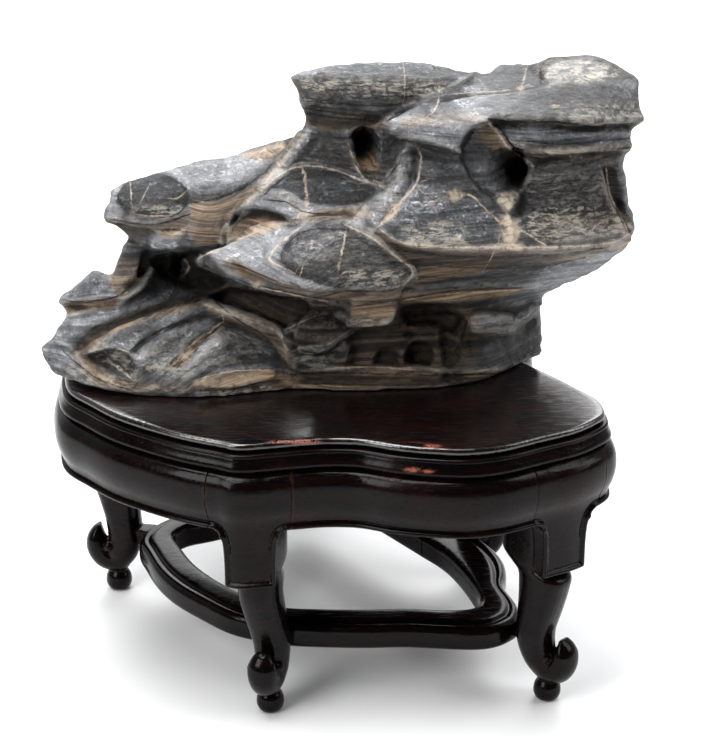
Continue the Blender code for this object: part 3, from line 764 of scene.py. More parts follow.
# name: (outline, softness in pixels, millimetres pushed away from the camera; towards it is negative)
PUSHES = traced({
    "recess_wall": ("214,300 228,290 256,291 295,297 331,303 345,310 330,314 290,327 266,320 238,309",
                    4, 11),
    "under_overhang": ("397,316 402,308 421,304 444,305 458,312 464,322 452,334 448,330 430,324 404,326"
                       " 388,328 352,328 340,318", 4, 6),
    "small_hole": ("404,333 410,331 416,334 412,338 405,337", 1.5, 5),
    "fold": ("440,328 448,328 452,360 450,382 443,382 443,360", 2.5, 4),
    "under_arm": ("152,262 166,256 200,249 216,262 226,276 214,290 190,288 170,282", 4, 12),
    "hole": ("173,266 178,257 186,257 189,267 184,277 175,276", 2, 10),
    "pillar_back": ("145,250 154,250 150,262 147,276 141,276", 2.5, 6),
    "hook": ("151,253 156,236 183,231 182,242 170,253", 2, -5),
    "hook_crack": ("157,233 167,228 182,229 176,233", 1.5, 3),
    "chip": ("88,354 104,350 128,356 134,368 128,378 116,364 98,366", 2, 4),
    "toe": ("194,384 204,378 234,371 270,369 277,376 262,382 232,389 204,391", 2, -4),
    "fan_dark": ("226,326 250,330 268,342 276,360 262,362 240,356 222,344", 6, 4),
    "cave1_deep": ("352,140 360,134 374,136 378,150 372,166 362,166 354,154", 3, 6),
    "brown_fold": ("232,230 236,216 256,211 290,222 266,226 243,232", 3, 5),
    "slab_recess": ("492,122 510,124 548,124 592,128 640,127 640,130 590,132 540,128 506,128", 2, 4),
    "wall_recess": ("512,152 540,154 576,151 630,147 626,156 600,161 560,162 528,161", 3, 4),
    "under_lip": ("388,254 440,260 520,260 590,256 560,268 480,274 420,274", 5, 3),
    "arm_chin": ("110,222 136,226 154,230 150,240 130,244 116,234", 4, 4),
    "right_notch": ("606,168 614,170 622,200 628,224 618,216 610,194", 2, 5),
    "cap_notch": ("300,108 340,114 376,114 376,122 340,126 306,120", 3, 4),
    "foot_right_face": ("500,340 512,336 536,320 542,350 514,364", 3, 4),
    "under_foot": ("452,378 490,376 516,368 500,384 470,390", 3, 6),
})

# name: (outline, softness in pixels, pixel where the depth is given, depth from the camera in
# millimetres, and the depth's slope to the right and down in millimetres a pixel)
LEVELS = traced({
    "foot_wall": ("340,327 352,329 396,329 404,322 398,312 402,306 440,304 460,312 464,322 456,336"
                  " 450,368 342,368", 3, (400, 345), 1567, 0.02, -0.12),
    "block": ("293,334 306,321 331,311 350,325 328,344 299,348", 1.5, (320, 330), 1555, -0.1, -0.15),
    "block_low": ("297,353 330,348 346,339 350,356 338,367 297,368", 1.5, (320, 358), 1556, 0, 0),
    "nub": ("350,318 354,302 396,302 397,312 390,320 384,324 352,325",
            1.5, (372, 312), 1522, 0.15, 0.4),
    "hanging_nub": ("468,318 478,312 504,312 515,318 512,333 496,335 474,333 470,326",
                    1.5, (490, 325), 1551, 0.25, 0.2),
    "hollow_a": ("374,364 379,351 388,349 399,354 396,364 386,366", 2, (388, 356), 1572, 0, 0),
    "hollow_b": ("405,360 409,348 417,341 428,344 433,352 430,365 414,364",
                 2, (418, 354), 1576, 0, 0.3),
})
LEVEL_REACH = 45.0             # a level moves the skin that lies no further from it than this
CLEAR_OF_BED = 5               # and that is this far above the board
TURNED_AWAY = -0.35            # and that faces the camera, or is turned from it by little

# name: (outline, softness in pixels, depth of the rim from the camera, deepest pixel, reach in pixels,
# millimetres deeper there)
BOWLS = traced({
    "cave2": ("461,150 470,130 488,123 500,134 512,150 529,162 528,178 521,190 519,204 508,213 496,204"
              " 474,180", 1.5, 1491, (519, 167), (17, 21), 46),
})

# corners of the outline that the melting rounds off: (centre, reach, pixels right and down)
TUGS = {
    "cap_corner": ((294, 76), 9, (-7, -1)),
    "cap_side": ((300, 104), 9, (-2, 0)),
    "arm_end_low": ((110, 217), 13, (-8, 2)),
    "arm_end_top": ((113, 190), 10, (-5, -2)),
    "arm_shoulder": ((200, 162), 10, (0, -3)),
    "arm_back": ((232, 158), 16, (0, 4)),
    "fan_left": ((46, 352), 15, (-8, 2)),
    "fan_left_low": ((57, 370), 10, (-4, 2)),
    "peak": ((95, 270), 7, (0, -5)),
    "peak_left": ((60, 297), 8, (-5, 0)),
    "foot_right": ((538, 357), 8, (7, 2)),
    "slab_right": ((641, 121), 9, (5, 0)),
    "slab_right_low": ((627, 152), 8, (5, 0)),
    "slab_corner": ((635, 78), 8, (5, -2)),
    "slab_back": ((550, 61), 13, (-2, -4)),
    "slab_left": ((500, 69), 9, (0, -3)),
    "right_low": ((631, 227), 8, (5, 0)),
    "nose_tip": ((208, 260), 15, (-8, 0)),
    "slab_tip": ((388, 121), 8, (-5, 0)),
}

# name: (outline, edge softness in pixels, depth in millimetres)
FACETS = traced({
    "nose_facet": ("281,258 287,243 299,233 314,228 345,227 352,229 371,241 390,256 411,271 409,278"
                   " 392,286 371,288 343,287 327,285 304,277 289,268", 2.5, 1.6),
    "arm_facet": ("117,199 121,189 131,180 145,175 161,174 177,179 187,190 189,201 182,212 168,217"
                  " 153,216 137,213 121,210", 2.5, 1.2),
    "arch_facet": ("266,190 280,178 298,173 328,172 356,180 375,189 361,203 340,206 306,201 287,189",
                   3, 1.2),
    "wall_face": ("530,163 600,165 606,200 618,225 600,238 540,240 515,212", 4, 1.0),
    "left_wall_face": ("424,158 456,150 470,182 498,212 500,240 420,240 396,224 418,190", 4, 0.8),
    "block_face": ("294,333 330,314 348,324 326,342 300,346", 3, 1.0),
})

# name: (outline, softness in pixels, strength) by what the patch is made of; one kind is painted shade,
# and the pale kind also carries painted light
DARK = traced({
    "nose_facet": (FACETS["nose_facet"][0], 2, 0.7),
    "arm_facet": (FACETS["arm_facet"][0], 2, 0.95),
    "arch_facet": (FACETS["arch_facet"][0], 2.5, 0.95),
    "column_face": ("312,134 346,134 350,150 358,170 330,169 300,166 290,168", 5, 0.9),
    "cap_front": ("296,78 340,84 440,84 436,96 400,104 350,104 310,100", 5, 0.55),
    "cap_top": ("318,74 340,66 400,62 440,66 472,74 440,79 350,77", 4, 0.8),
    "slab_band": ("541,88 600,82 642,92 644,122 592,124 540,118 504,118 516,104", 5, 0.75),
    "slab_back_top": ("600,58 616,58 634,74 620,78 602,66", 3, 0.8),
    "slab_back_crease": ("538,80 541,64 552,57 580,53 560,60 548,68 546,82", 2, 0.8),
    "slab_crest_shade": ("470,84 510,66 524,68 520,84 500,88", 4, 0.5),
    "left_wall": ("420,158 460,150 470,184 500,216 500,240 410,240 390,228 418,190", 6, 0.6),
    "cave2": ("462,150 482,146 500,156 526,168 527,175 518,190 500,200 478,184 462,160", 3, 0.35),
    "cave1": ("350,134 376,128 404,140 402,176 376,182 356,166", 4, 1.0),
    "wall": ("528,164 604,166 610,200 622,228 540,236 516,206", 6, 0.75),
    "slab_edge": ("556,100 640,92 644,124 592,128 540,122 500,120", 6, 0.6),
    "slab_face": ("446,94 520,66 560,76 520,88", 6, 0.35),
    "fan_dark": ("222,318 250,326 272,338 284,362 262,360 232,366 212,356 218,336", 8, 0.45),
    "pillar_face": ("152,267 164,270 168,296 140,298 128,298", 3, 0.8),
    "peak": ("60,298 96,268 118,285 126,291 110,296", 3, 0.25),
    "under_nose": ("124,236 196,268 222,290 200,300 172,300 168,262", 8, 0.7),
    "block_low": ("293,350 332,346 352,334 360,350 330,366 296,370", 4, 0.6),
    "hollow_a": ("379,348 396,348 396,364 379,364", 3, 0.9),
    "hollow_b": ("408,346 420,340 432,348 430,366 408,366", 3, 0.9),
    "chip": ("88,352 112,348 130,356 134,368 116,362 96,372", 4, 0.7),
    "nose_chin": ("200,264 224,268 262,284 244,290 220,284", 4, 0.45),
    "horn": ("516,318 540,300 546,330 536,350 520,350", 4, 0.7),
    "under_right": ("386,262 470,258 560,254 520,280 400,288", 8, 0.3),
    "block_top": ("290,333 306,320 330,311 352,326 328,345 298,349", 3, 0.8),
    "fan_rib_2": ("144,352 160,334 190,318 204,316 184,336 166,356", 4, 0.55),
    "fan_rib_1": ("96,348 120,334 150,322 160,320 140,338 124,348", 4, 0.4),
    "fan_left_dark": ("86,356 100,344 126,352 134,372 112,366", 3, 0.8),
    "slab_right_dark": ("600,96 640,92 640,122 600,126 588,112", 6, 0.6),
    "slab_front_line": ("500,118 560,116 640,122 640,128 560,124 504,124", 2, 0.45),
    "under_band_dark": ("420,262 500,262 560,258 540,264 480,270 430,270", 3, 0.6),
    "foot_right": ("500,336 536,320 544,352 512,368", 4, 0.5),
    "column_dark": ("300,150 322,140 346,150 352,168 326,170 300,164", 4, 0.9),
    "slab_triangle": ("410,140 430,140 444,146 464,152 460,158 436,154 414,150", 2.5, 0.35),
    "foot_low_left": ("190,384 262,384 290,388 230,400 180,396", 4, 0.5),
})
# painted shade: dark brown laid in hollows, recesses, holes and under overhangs
PAINTED_SHADE_PATCHES = traced({
    "recess": ("212,298 228,289 257,291 295,297 331,304 338,311 314,319 289,328 266,321 237,310",
               2.5, 0.85),
    "overhang": ("394,318 398,306 424,303 446,305 460,316 458,328 442,330 430,324 404,326 388,328"
                 " 352,328 344,318 352,312 386,322", 3, 0.35),
    "overhang_right": ("460,318 472,326 486,338 482,348 466,350 456,334", 4, 0.4),
    "under_band_shade": ("398,304 430,303 456,304 500,303 470,307 440,308 400,311", 2.5, 0.8),
    "nub_under": ("350,325 386,326 398,316 404,322 396,331 352,332", 2, 0.8),
    "hanging_under": ("470,333 512,334 516,340 476,341", 2, 0.7),
    "brow_dark": ("500,148 512,156 526,164 528,176 522,188 512,180 500,164", 3, 0.8),
    "foot_hollow": ("352,330 400,330 444,336 446,366 340,368 344,344", 5, 0.2),
    "hollow_a": (LEVELS["hollow_a"][0], 2, 0.2),
    "hollow_b": (LEVELS["hollow_b"][0], 2, 0.3),
    "small_hole": (PUSHES["small_hole"][0], 1.5, 0.9),
    "fold": ("442,328 462,334 464,384 444,384 440,350", 4, 0.6),
    "slit": ("464,322 468,324 460,352 455,354", 1.5, 0.9),
    "under_arm": (PUSHES["under_arm"][0], 3, 0.95),
    "hole": ("160,258 177,257 183,262 181,272 172,274 162,270", 2, 1.0),
    "wall_shadow": ("344,330 400,328 440,330 470,330 470,366 340,368", 6, 0.1),
    "pillar_shade": ("140,246 152,250 150,266 142,284 128,290 122,284 138,268", 2.5, 0.7),
    "arm_chin": ("106,222 128,226 148,228 146,238 130,242 116,236", 3, 0.7),
    "cap_waist": ("306,108 340,115 380,116 392,124 380,132 330,132 310,126", 3, 0.5),
    "column": ("316,134 350,138 352,168 338,168 322,160", 4, 0.5),
    "nose_edge": ("266,285 300,293 345,300 345,304 300,303 270,292", 2, 0.8),
    "under_lip": ("404,252 500,257 580,254 560,262 480,266 420,262", 3, 0.55),
    "foot_dark": ("296,372 340,374 430,378 500,376 500,382 430,385 320,384 296,384", 2.5, 0.75),
    "foot_last": ("300,392 360,390 440,390 500,384 520,374 516,384 470,394 380,397 300,398", 2.5, 0.7),
    "fan_notch": ("288,345 297,352 300,378 292,384 288,364", 2.5, 0.8),
    "fan_back": ("214,292 226,300 220,308 200,300 196,294", 3, 0.6),
    "slab_recess": (PUSHES["slab_recess"][0], 1.5, 0.85),
    "wall_recess": ("512,150 540,153 576,152 630,147 630,151 590,157 548,158 524,157", 2, 0.2),
    "horn_shade": ("500,340 514,334 536,322 540,350 516,362 504,356", 3, 0.4),
    "rib_grooves": ("134,350 142,336 160,322 176,312 162,326 146,342 138,354", 2, 0.5),
    "arch_left": ("232,222 244,206 262,196 276,204 258,212 240,226", 4, 0.35),
    "right_notch": ("606,176 616,188 624,214 620,220 610,200", 2, 0.6),
})
TAN = traced({
    "arm_strata": ("191,205 232,198 269,172 292,138 300,140 262,190 237,214 222,246 196,246", 6, 0.75),
    "arm_rear": ("246,152 290,136 302,130 290,150 262,160", 5, 0.8),
    "arm_chin": ("108,218 150,224 190,214 196,236 150,232 132,244 112,234", 5, 0.5),
    "arm_hook": ("160,232 184,228 180,237 164,238", 3, 0.7),
    "brown_fold": ("224,232 238,218 262,214 292,222 262,232 232,242", 4, 1.0),
    "under_arch": ("290,222 318,212 352,208 372,214 352,218 318,220", 4, 0.8),
    "nose_stripe": ("226,259 244,266 266,280 258,284 236,272", 3, 1.0),
    "nose_under": ("262,276 290,285 330,292 404,288 420,272 440,262 500,262 480,272 430,282 392,300"
                   " 340,302 300,296", 5, 0.9),
    "facet_side": ("372,230 392,240 420,252 500,250 560,248 610,246 560,262 440,262 412,272 392,252",
                   5, 0.75),
    "nub": ("350,302 396,303 390,320 356,322", 4, 0.9),
    "under_band": ("404,296 450,290 524,288 500,298 440,302 400,304", 3, 1.0),
    "recess": ("212,290 240,288 326,300 330,312 290,326 256,320", 6, 0.7),
    "block": ("292,332 330,312 350,324 326,344 298,348", 4, 0.3),
    "foot": ("296,374 340,368 470,370 530,368 520,384 400,392 300,392", 4, 1.0),
    "foot_wall": ("380,306 470,306 470,366 340,368 344,344", 8, 0.6),
    "peak_band": ("63,304 112,298 127,292 114,308 84,312 64,315", 2.5, 1.0),
    "pillar": ("112,262 144,262 140,282 120,292 112,286", 5, 0.65),
    "fan_groove": ("72,354 88,338 116,322 152,308 190,300 208,296 190,308 152,320 110,336 84,354",
                   3, 1.0),
    "fan_border": ("203,300 222,306 252,316 278,327 292,345 300,378 288,376 278,348 250,331 214,316",
                   3, 0.85),
    "rib_vein": ("172,366 184,350 196,340 220,323 222,326 200,346 190,358 178,368", 2.5, 0.9),
    "toe": ("192,384 203,378 234,371 270,369 277,376 262,382 232,389 204,391", 3, 1.0),
    "toe_right": ("262,384 282,374 300,380 286,392 262,392", 4, 0.9),
    "left_low": ("78,352 96,362 116,376 150,384 190,388 150,392 100,386 84,372", 5, 0.7),
    "upper_band": ("508,148 540,150 632,144 632,150 600,158 540,160", 4, 0.9),
    "cave2_rim": ("476,130 490,122 502,138 514,150 528,160 524,166 508,158 490,146 478,140", 2.5, 0.75),
    "right_edge": ("603,166 610,168 616,198 632,232 624,234 608,200", 2.5, 0.9),
    "wall_low": ("540,216 612,212 626,232 606,242 540,240", 6, 0.22),
    "cap_waist": ("308,116 380,118 384,128 340,130 312,128", 5, 0.6),
    "cave1_inside": ("352,160 372,150 380,176 366,180", 4, 0.7),
    "slab_under": ("404,118 470,112 486,120 440,124 404,128", 5, 0.35),
    "lip": ("404,243 500,246 610,243 632,232 634,240 608,250 500,254 410,250", 3, 0.8),
})
# pale stone, and painted light on lit tops, edges and rims
PALE_AND_PAINTED_LIGHT = traced({
    "nose": ("198,259 228,244 262,228 300,222 288,240 276,256 290,274 330,290 300,292 262,278 232,262"
             " 214,268", 4, 1.0),
    "arm_top": ("118,184 140,173 170,168 246,152 280,146 262,166 230,180 190,190 168,172 134,176",
                5, 0.95),
    "arm_end": ("106,216 112,190 122,182 117,200 124,212 116,220", 3, 0.9),
    "arm_under_facet": ("166,218 188,206 206,204 196,232 176,250 152,250 156,232 186,226", 4, 0.8),
    "column_edge": ("308,130 306,150 286,172 262,190 266,178 290,150", 3, 1.0),
    "under_arch": ("262,192 288,194 308,204 340,208 360,205 330,214 296,220 262,206 240,212", 4, 0.85),
    "nose_top_line": ("222,243 262,230 296,222 296,226 262,236 226,248", 3, 0.9),
    "slab_tip": ("384,121 404,108 440,96 470,98 490,118 464,152 444,143 420,136 398,135", 5, 0.6),
    "slab_face": ("440,96 512,64 526,66 560,96 500,116 486,116", 6, 0.45),
    "slab_back": ("546,70 570,60 600,62 612,70 596,80 560,84 546,80", 4, 0.6),
    "band": ("506,128 640,130 634,142 560,144 512,140", 4, 0.6),
    "strip": ("404,150 410,160 400,186 384,206 362,226 348,224 372,202 392,182", 3, 1.0),
    "left_wall_low": ("400,226 450,224 460,240 410,242", 4, 0.6),
    "under_curve": ("560,256 606,246 634,228 630,246 601,269 560,284 520,292 540,274", 8, 0.9),
    "fan_crest": ("64,318 84,311 130,300 146,299 110,316 84,330 66,342 54,340", 4, 0.6),
    "rib_1": ("90,350 122,330 160,314 200,310 170,324 134,348 120,348", 4, 0.75),
    "rib_2": ("136,360 152,340 196,322 210,324 186,346 168,368", 5, 0.7),
    "rib_3": ("180,372 200,346 222,330 226,350 210,366 190,376", 6, 0.55),
    "left_end": ("42,352 56,334 74,344 78,370 60,368", 6, 0.3),
    "toe_light": ("192,384 203,378 234,371 270,369 277,376 262,382 232,389 204,391", 3, 0.8),
    "lower_band_light": ("300,382 380,384 460,384 500,378 480,388 380,391 300,390", 2.5, 0.35),
    "under_band_light": ("404,296 450,290 524,289 500,299 440,303", 2.5, 0.6),
    "peak": ("62,300 96,270 116,285 110,296", 3, 0.55),
    "slab_low": ("530,150 600,150 620,156 600,164 540,166", 4, 0.35),
    "arm_side": ("190,206 226,204 222,224 196,232", 5, 0.5),
    "peak_low": ("66,306 112,299 110,310 66,315", 3, 0.6),
    "cap_top": ("318,72 350,64 420,62 460,68 420,74 350,76", 4, 0.3),
    "slab_top": ("430,98 480,74 514,66 512,82 460,104", 5, 0.35),
    "facet_left": ("384,222 404,190 424,180 430,210 412,236", 5, 0.35),
    "foot_side": ("500,330 536,316 544,346 510,362", 4, 0.3),
    "nub_light": ("352,304 394,304 388,318 358,320", 3, 0.5),
    "curl": ("179,256 187,259 190,268 185,277 178,277 184,268", 1.5, 0.7),
    "pillar_light": ("114,270 132,264 140,272 132,286 118,292", 4, 0.5),
    "border_light": ("205,300 222,307 250,317 277,328 291,345 299,378 292,378 284,350 270,335 246,325"
                     " 216,314", 2.5, 0.4),
    "cap_left_rim": ("293,75 310,67 336,66 330,72 306,78", 2.5, 0.8),
    "slab_lower_face": ("440,108 500,96 530,92 520,112 490,116 450,124", 4, 0.5),
    "facet_left": ("400,196 418,184 440,190 452,204 436,214 412,220 392,224", 4, 0.75),
    "facet_middle": ("440,190 470,200 490,222 470,236 440,226", 8, 0.35),
    "facet_rim": ("300,232 314,228 346,228 340,250 322,262 300,262 288,256", 5, 0.5),
    "slab_mid": ("430,92 452,84 500,72 512,84 470,98 440,104", 5, 0.7),
    "wall_low_right": ("560,222 604,218 622,232 600,240 560,240", 5, 0.7),
    "hanging_nub": ("466,318 514,318 512,333 496,335 474,333", 2, 0.45),
    "nub_edge_white": ("350,320 372,323 386,320 394,314 390,321 380,326 352,325", 1.2, 0.9),
    "horn_edge": ("536,300 524,312 512,322 509,332 514,334 526,318 541,302", 2, 0.7),
    "left_rock": ("62,300 84,282 100,272 112,288 96,300 66,306", 4, 0.6),
    "strip_tip": ("376,204 400,200 404,210 380,226 372,222", 4, 0.7),
    "pillar_ridge": ("152,268 148,282 130,298 120,302 138,286", 3, 0.45),
    "right_rim": ("624,80 638,84 634,96 642,122 634,126 626,104", 3, 0.5),
})
CREAM = traced({
    "vein_heart": ("386,214 392,204 400,204 398,212 390,220 384,222", 1.5, 1.0),
    "star": ("500,222 508,216 518,226 520,234 512,246 504,238 502,230", 1.5, 1.0),
    "star_blob": ("446,192 458,189 464,195 456,201 448,198", 1.5, 0.95),
    "cave2_patch": ("497,194 518,193 516,204 507,212 500,206", 2, 0.75),
    "lip_patch": ("497,244 522,244 520,250 500,250", 2, 0.9),
    "slab_vein_end": ("516,88 522,85 525,88 520,91", 1.2, 1.0),
    "white_dot": ("552,105 558,104 560,107 555,109", 1.2, 1.0),
    "lip_dot": ("459,242 464,242 465,246 460,246", 1.2, 1.0),
    "arch_patch": ("278,194 290,196 292,200 280,198", 1.5, 0.8),
    "rib_blob": ("182,350 190,346 192,352 184,360 180,358", 1.5, 0.7),
    "toe_white": ("110,381 124,380 122,386 111,387", 1.5, 0.8),
    "nose_white": ("256,283 264,281 262,286 252,288", 1.2, 0.8),
    "arch_base": ("288,202 304,206 312,214 296,212", 3, 0.4),
    "toe_face": ("204,382 236,375 268,374 262,380 232,386 206,388", 3, 0.4),
    "toe_tip": ("194,384 204,380 210,384 202,389", 2, 0.6),
})
FLECK = traced({
    "cap_front": ("300,80 330,80 440,82 444,92 400,98 340,96 306,90", 3, 1.0),
    "cap_front_low": ("306,96 340,100 336,108 308,104", 3, 0.7),
    "slab_back": ("540,64 590,60 620,70 610,80 548,84", 5, 1.0),
    "slab_edge": ("560,108 636,104 640,122 580,126", 5, 0.7),
    "left_wall_low": ("404,226 456,222 466,242 410,244", 4, 1.0),
    "wall": ("530,176 600,172 606,200 540,206", 6, 0.45),
    "wall_low": ("530,210 612,206 626,232 540,240", 5, 0.9),
    "nose_facet_low": ("336,272 400,270 404,282 372,288 338,286", 3, 1.0),
    "nose_facet": ("296,240 330,232 366,236 392,256 398,272 340,270 300,268", 4, 0.3),
    "fan_face": ("150,350 220,330 262,344 250,364 190,370 140,366", 4, 0.3),
    "saddle": ("352,206 380,202 396,186 402,196 386,216 360,222", 4, 0.5),
    "arm_facet_low": ("134,208 176,204 182,212 160,217 136,214", 3, 0.9),
    "fan_toe": ("70,364 130,380 190,388 170,394 90,388", 4, 0.45),
    "chip": ("86,350 114,346 134,360 134,378 110,366", 3, 0.5),
    "rib_low": ("150,350 180,352 200,366 180,380 140,366", 6, 0.6),
    "nub_edge": ("348,319 392,317 388,326 352,326", 2, 1.0),
    "hanging_nub": ("466,316 514,316 512,334 474,334", 3, 0.35),
    "band_top": ("508,138 526,142 520,147 508,144", 2, 0.8),
    "star": ("500,214 526,222 524,240 498,240", 5, 0.6),
    "foot_front": ("200,386 270,384 262,396 206,398", 3, 0.7),
    "block_low": ("296,352 330,350 326,366 298,368", 4, 0.6),
})
PATCHES = {"dark": DARK, "painted_shade": PAINTED_SHADE_PATCHES, "tan": TAN, "pale_and_painted_light": PALE_AND_PAINTED_LIGHT, "cream": CREAM, "fleck": FLECK}

# name: (points, half width in pixels), split so that veins that come close are in different groups
VEINS = [
    traced({
        "nose_cross": ("346,229 343,246 338,270", 1.5),
        "arm_a": ("130,181 131,192 131.5,203", 0.9),
        "arch_cross": ("303,168 306,186 307,209", 2.0),
        "slab_a": ("527,67 524,78 521,89", 1.3),
        "slab_b": ("439,97 437,105 433,112 427,116", 1.0),
        "cap": ("403,63 405,79 404,100", 0.8),
        "wall_left": ("416,144 421,158 417,182 407,195 397,207 379,226", 1.4),
        "star_left": ("503,224 488,212 470,195 450,195 425,206 419,208", 1.3),
        "star_right": ("516,228 530,235 537,240 548,246", 1.2),
        "right_edge": ("606,168 610,194 620,214 629,234", 1.0),
        "tail": ("494,252 489,262 483,270", 0.5),
        "rib_two": ("173,364 187,350 196,341 221,323", 1.4),
        "fan_border": ("204,304 221,311 250,321", 0.6),
        "nose_left": ("197,259 226,245 262,230", 0.7),
        "block_low": ("294,351 303,347 326,345 350,330", 1.0),
        "foot": ("331,368 372,367 415,370", 0.9),
        "arm_hook": ("164,231 173,235 184,229", 0.8),
    }),
    traced({
        "arch_rim": ("262,191 273,180 290,169 313,166 338,171 361,180 384,187", 1.1),
        "nose_rim_right": ("348,226 372,238 394,255 413,271 404,284 393,288", 1.2),
        "nose_rim_left": ("300,228 282,241 272,253 271,261 296,274", 1.0),
        "arm_b": ("149,186 145,193 142,200", 0.8),
        "arm_c": ("165,198 178,198 185,192", 1.0),
        "lip": ("403,243 444,247 500,247 556,247 610,243 632,232", 1.0),
        "wall_branch": ("419,182 427,180", 0.8),
        "cave2_rim": ("488,121 499,135 510,149 527,160 533,166", 1.4),
        "star_down": ("511,226 512,246", 1.8),
        "block_top": ("288,329 306,320 330,312", 0.9),
        "slab_line": ("451,94 480,92 511,90", 0.6),
        "under_band": ("405,300 450,294 520,290", 0.8),
        "chip_white": ("114,365 122,371 130,377", 1.4),
        "chip_white_b": ("86,353 100,349 113,347 128,352", 0.9),
        "toe_top": ("193,385 203,378 234,371 270,370", 0.7),
        "hole_arc": ("183,258 189,266 184,276", 1.2),
        "nose_small": ("303,266 300,276", 0.6),
    }),
    traced({
        "star_spur": ("507,213 510,225", 1.4),
        "star_low_left": ("508,229 502,233 498,240", 0.7),
        "cave1_rim": ("350,150 356,166 366,180 385,186 401,178", 0.8),
        "nose_bottom": ("252,286 290,294 330,302", 0.8),
        "lip_start": ("379,228 390,237 404,243", 0.8),
        "lower_left": ("418,188 430,200 436,212", 0.4),
        "arm_low": ("136,214 150,216 168,216", 0.8),
    }),
]

# dark hairlines, as the veins
CRACKS = [
    traced({
        "rib_1": ("132,349 149,337 170,326 191,318", 1.1),
        "rib_2": ("176,369 190,352 204,340 222,325", 0.7),
        "block_top": ("287,330 306,322 331,312", 1.0),
        "slit": ("467,321 462,338 455,353", 1.4),
        "foot_crack": ("499,337 506,349 513,365", 0.9),
        "slab_line": ("489,119 512,122 560,122 592,127 641,126", 1.5),
        "slab_back": ("541,84 541,68 551,58 574,52", 1.0),
        "lip": ("396,250 450,256 500,257 560,254 604,248", 1.2),
        "recess": ("512,151 540,155 576,155 604,152 631,147", 1.6),
        "facet_left": ("352,230 330,229 314,229 299,234 287,244 281,257 289,268 304,277 327,285 345,288",
                       0.9),
        "arm_facet": ("187,190 170,177 151,175 131,181 121,190 118,199 128,208 150,215 168,217 181,211"
                      " 188,200", 0.9),
        "arch": ("264,195 276,184 292,174 313,170 338,174 360,183", 1.0),
        "cave1": ("349,132 350,150 356,164 368,179", 1.2),
        "cave2": ("474,130 466,142 463,155 472,178 494,202", 1.2),
        "cap_low": ("304,113 340,118 378,121", 1.3),
        "arm_line": ("190,203 222,197 250,184 272,165", 0.9),
        "foot_band": ("298,374 350,373 420,375 500,374", 1.2),
        "fan_edge": ("214,300 238,320 262,334 280,356 284,376", 0.9),
        "left_strata": ("62,350 80,366 100,380 130,390", 0.8),
        "peak": ("62,300 84,302 112,298 128,290", 1.2),
    }),
    traced({
        "nose_low": ("262,286 300,295 345,303", 1.3),
        "facet_low": ("345,291 371,291 392,290 410,280", 0.9),
        "band_1": ("392,262 470,268 540,266 586,257", 0.8),
        "band_2": ("404,276 470,278 540,274", 0.7),
        "band_3": ("356,306 400,300 450,291 522,288", 0.9),
        "cap_mid": ("306,101 340,104 372,106 402,104", 0.8),
        "slab_face": ("440,102 470,96 512,92 540,86", 0.7),
        "slab_band_1": ("560,100 600,98 640,100", 0.8),
        "slab_band_2": ("548,110 590,108 641,112", 0.8),
        "slab_low_1": ("516,140 560,144 600,141 632,138", 0.7),
        "left_wall": ("440,150 436,162 444,170", 0.6),
        "column": ("300,142 306,150 330,152 346,158", 0.8),
        "under_arch": ("262,200 286,202 304,212 330,214", 0.8),
        "saddle": ("232,232 240,220 262,214 290,222", 0.9),
        "arm_under": ("110,219 136,224 160,224 190,214", 0.9),
        "wall_1": ("528,180 560,184 604,180", 0.5),
        "wall_2": ("524,210 560,213 612,210", 0.6),
        "right_edge": ("604,168 608,192 620,214 633,236", 1.2),
        "block_mid": ("304,339 312,336 320,335", 0.8),
        "toe": ("200,391 232,389 262,382 286,380", 1.0),
        "fan_right": ("228,330 246,338 258,352", 0.7),
        "horn": ("546,306 534,322 524,334", 0.9),
        "foot_low": ("300,383 380,385 450,384 500,379", 0.9),
    }),
]

# grain of the strata: (centre in pixels, reach in pixels, slope of the beds in the picture in degrees)
BEDS = [
    ((560, 110), 90, 2), ((570, 190), 80, 0), ((480, 270), 90, 4), ((400, 300), 70, 6),
    ((420, 80), 60, 4), ((330, 110), 50, 0), ((350, 200), 50, 20), ((300, 190), 40, 30),
    ((240, 190), 50, 58), ((150, 195), 50, 20), ((140, 230), 40, 0), ((260, 250), 50, -24),
    ((320, 260), 40, 40), ((120, 320), 60, 24), ((190, 350), 60, 36), ((90, 290), 30, 4),
    ((90, 370), 40, -30), ((400, 370), 100, 0), ((260, 300), 50, -18), ((240, 380), 50, 12),
    ((440, 200), 50, 14),
]


def distance_to(points, line):
    """Distance of 2-D points to a polyline, their side of it, how far along it, and its length."""
    line = np.asarray(line, float)
    best = np.full(len(points), 1e9)
    side = np.ones(len(points))
    along = np.zeros(len(points))
    walked = 0.0
    for a, b in zip(line, line[1:]):
        ab = b - a
        length = math.hypot(*ab)
        rel = points - a
        t = rel @ ab / length ** 2
        u = np.clip(t, 0, 1)
        d = np.hypot(rel[:, 0] - u * ab[0], rel[:, 1] - u * ab[1])
        nearer = d < best
        best = np.where(nearer, d, best)
        side = np.where(nearer, np.sign(ab[0] * rel[:, 1] - ab[1] * rel[:, 0]), side)
        along = np.where(nearer, walked + u * length, along)
        walked += length
    return best, side, along, walked


def inside(points, outline, soft):
    """1 well inside a closed outline, 0 outside, easing over `soft` pixels."""
    outline = spline(outline, 4, closed=True)
    loop = np.concatenate((outline, outline[:1]))
    x, y = points[:, 0], points[:, 1]
    crossings = np.zeros(len(points), int)
    for (x0, y0), (x1, y1) in zip(loop, loop[1:]):
        if y0 != y1:
            spans = (y0 > y) != (y1 > y)
            crossings += spans & (x < (x1 - x0) * (y - y0) / (y1 - y0) + x0)
    d, _, _, _ = distance_to(points, loop)
    signed = np.where(crossings % 2 == 1, d, -d)
    t = np.clip(signed / soft * 0.5 + 0.5, 0, 1)
    return t * t * (3 - 2 * t)


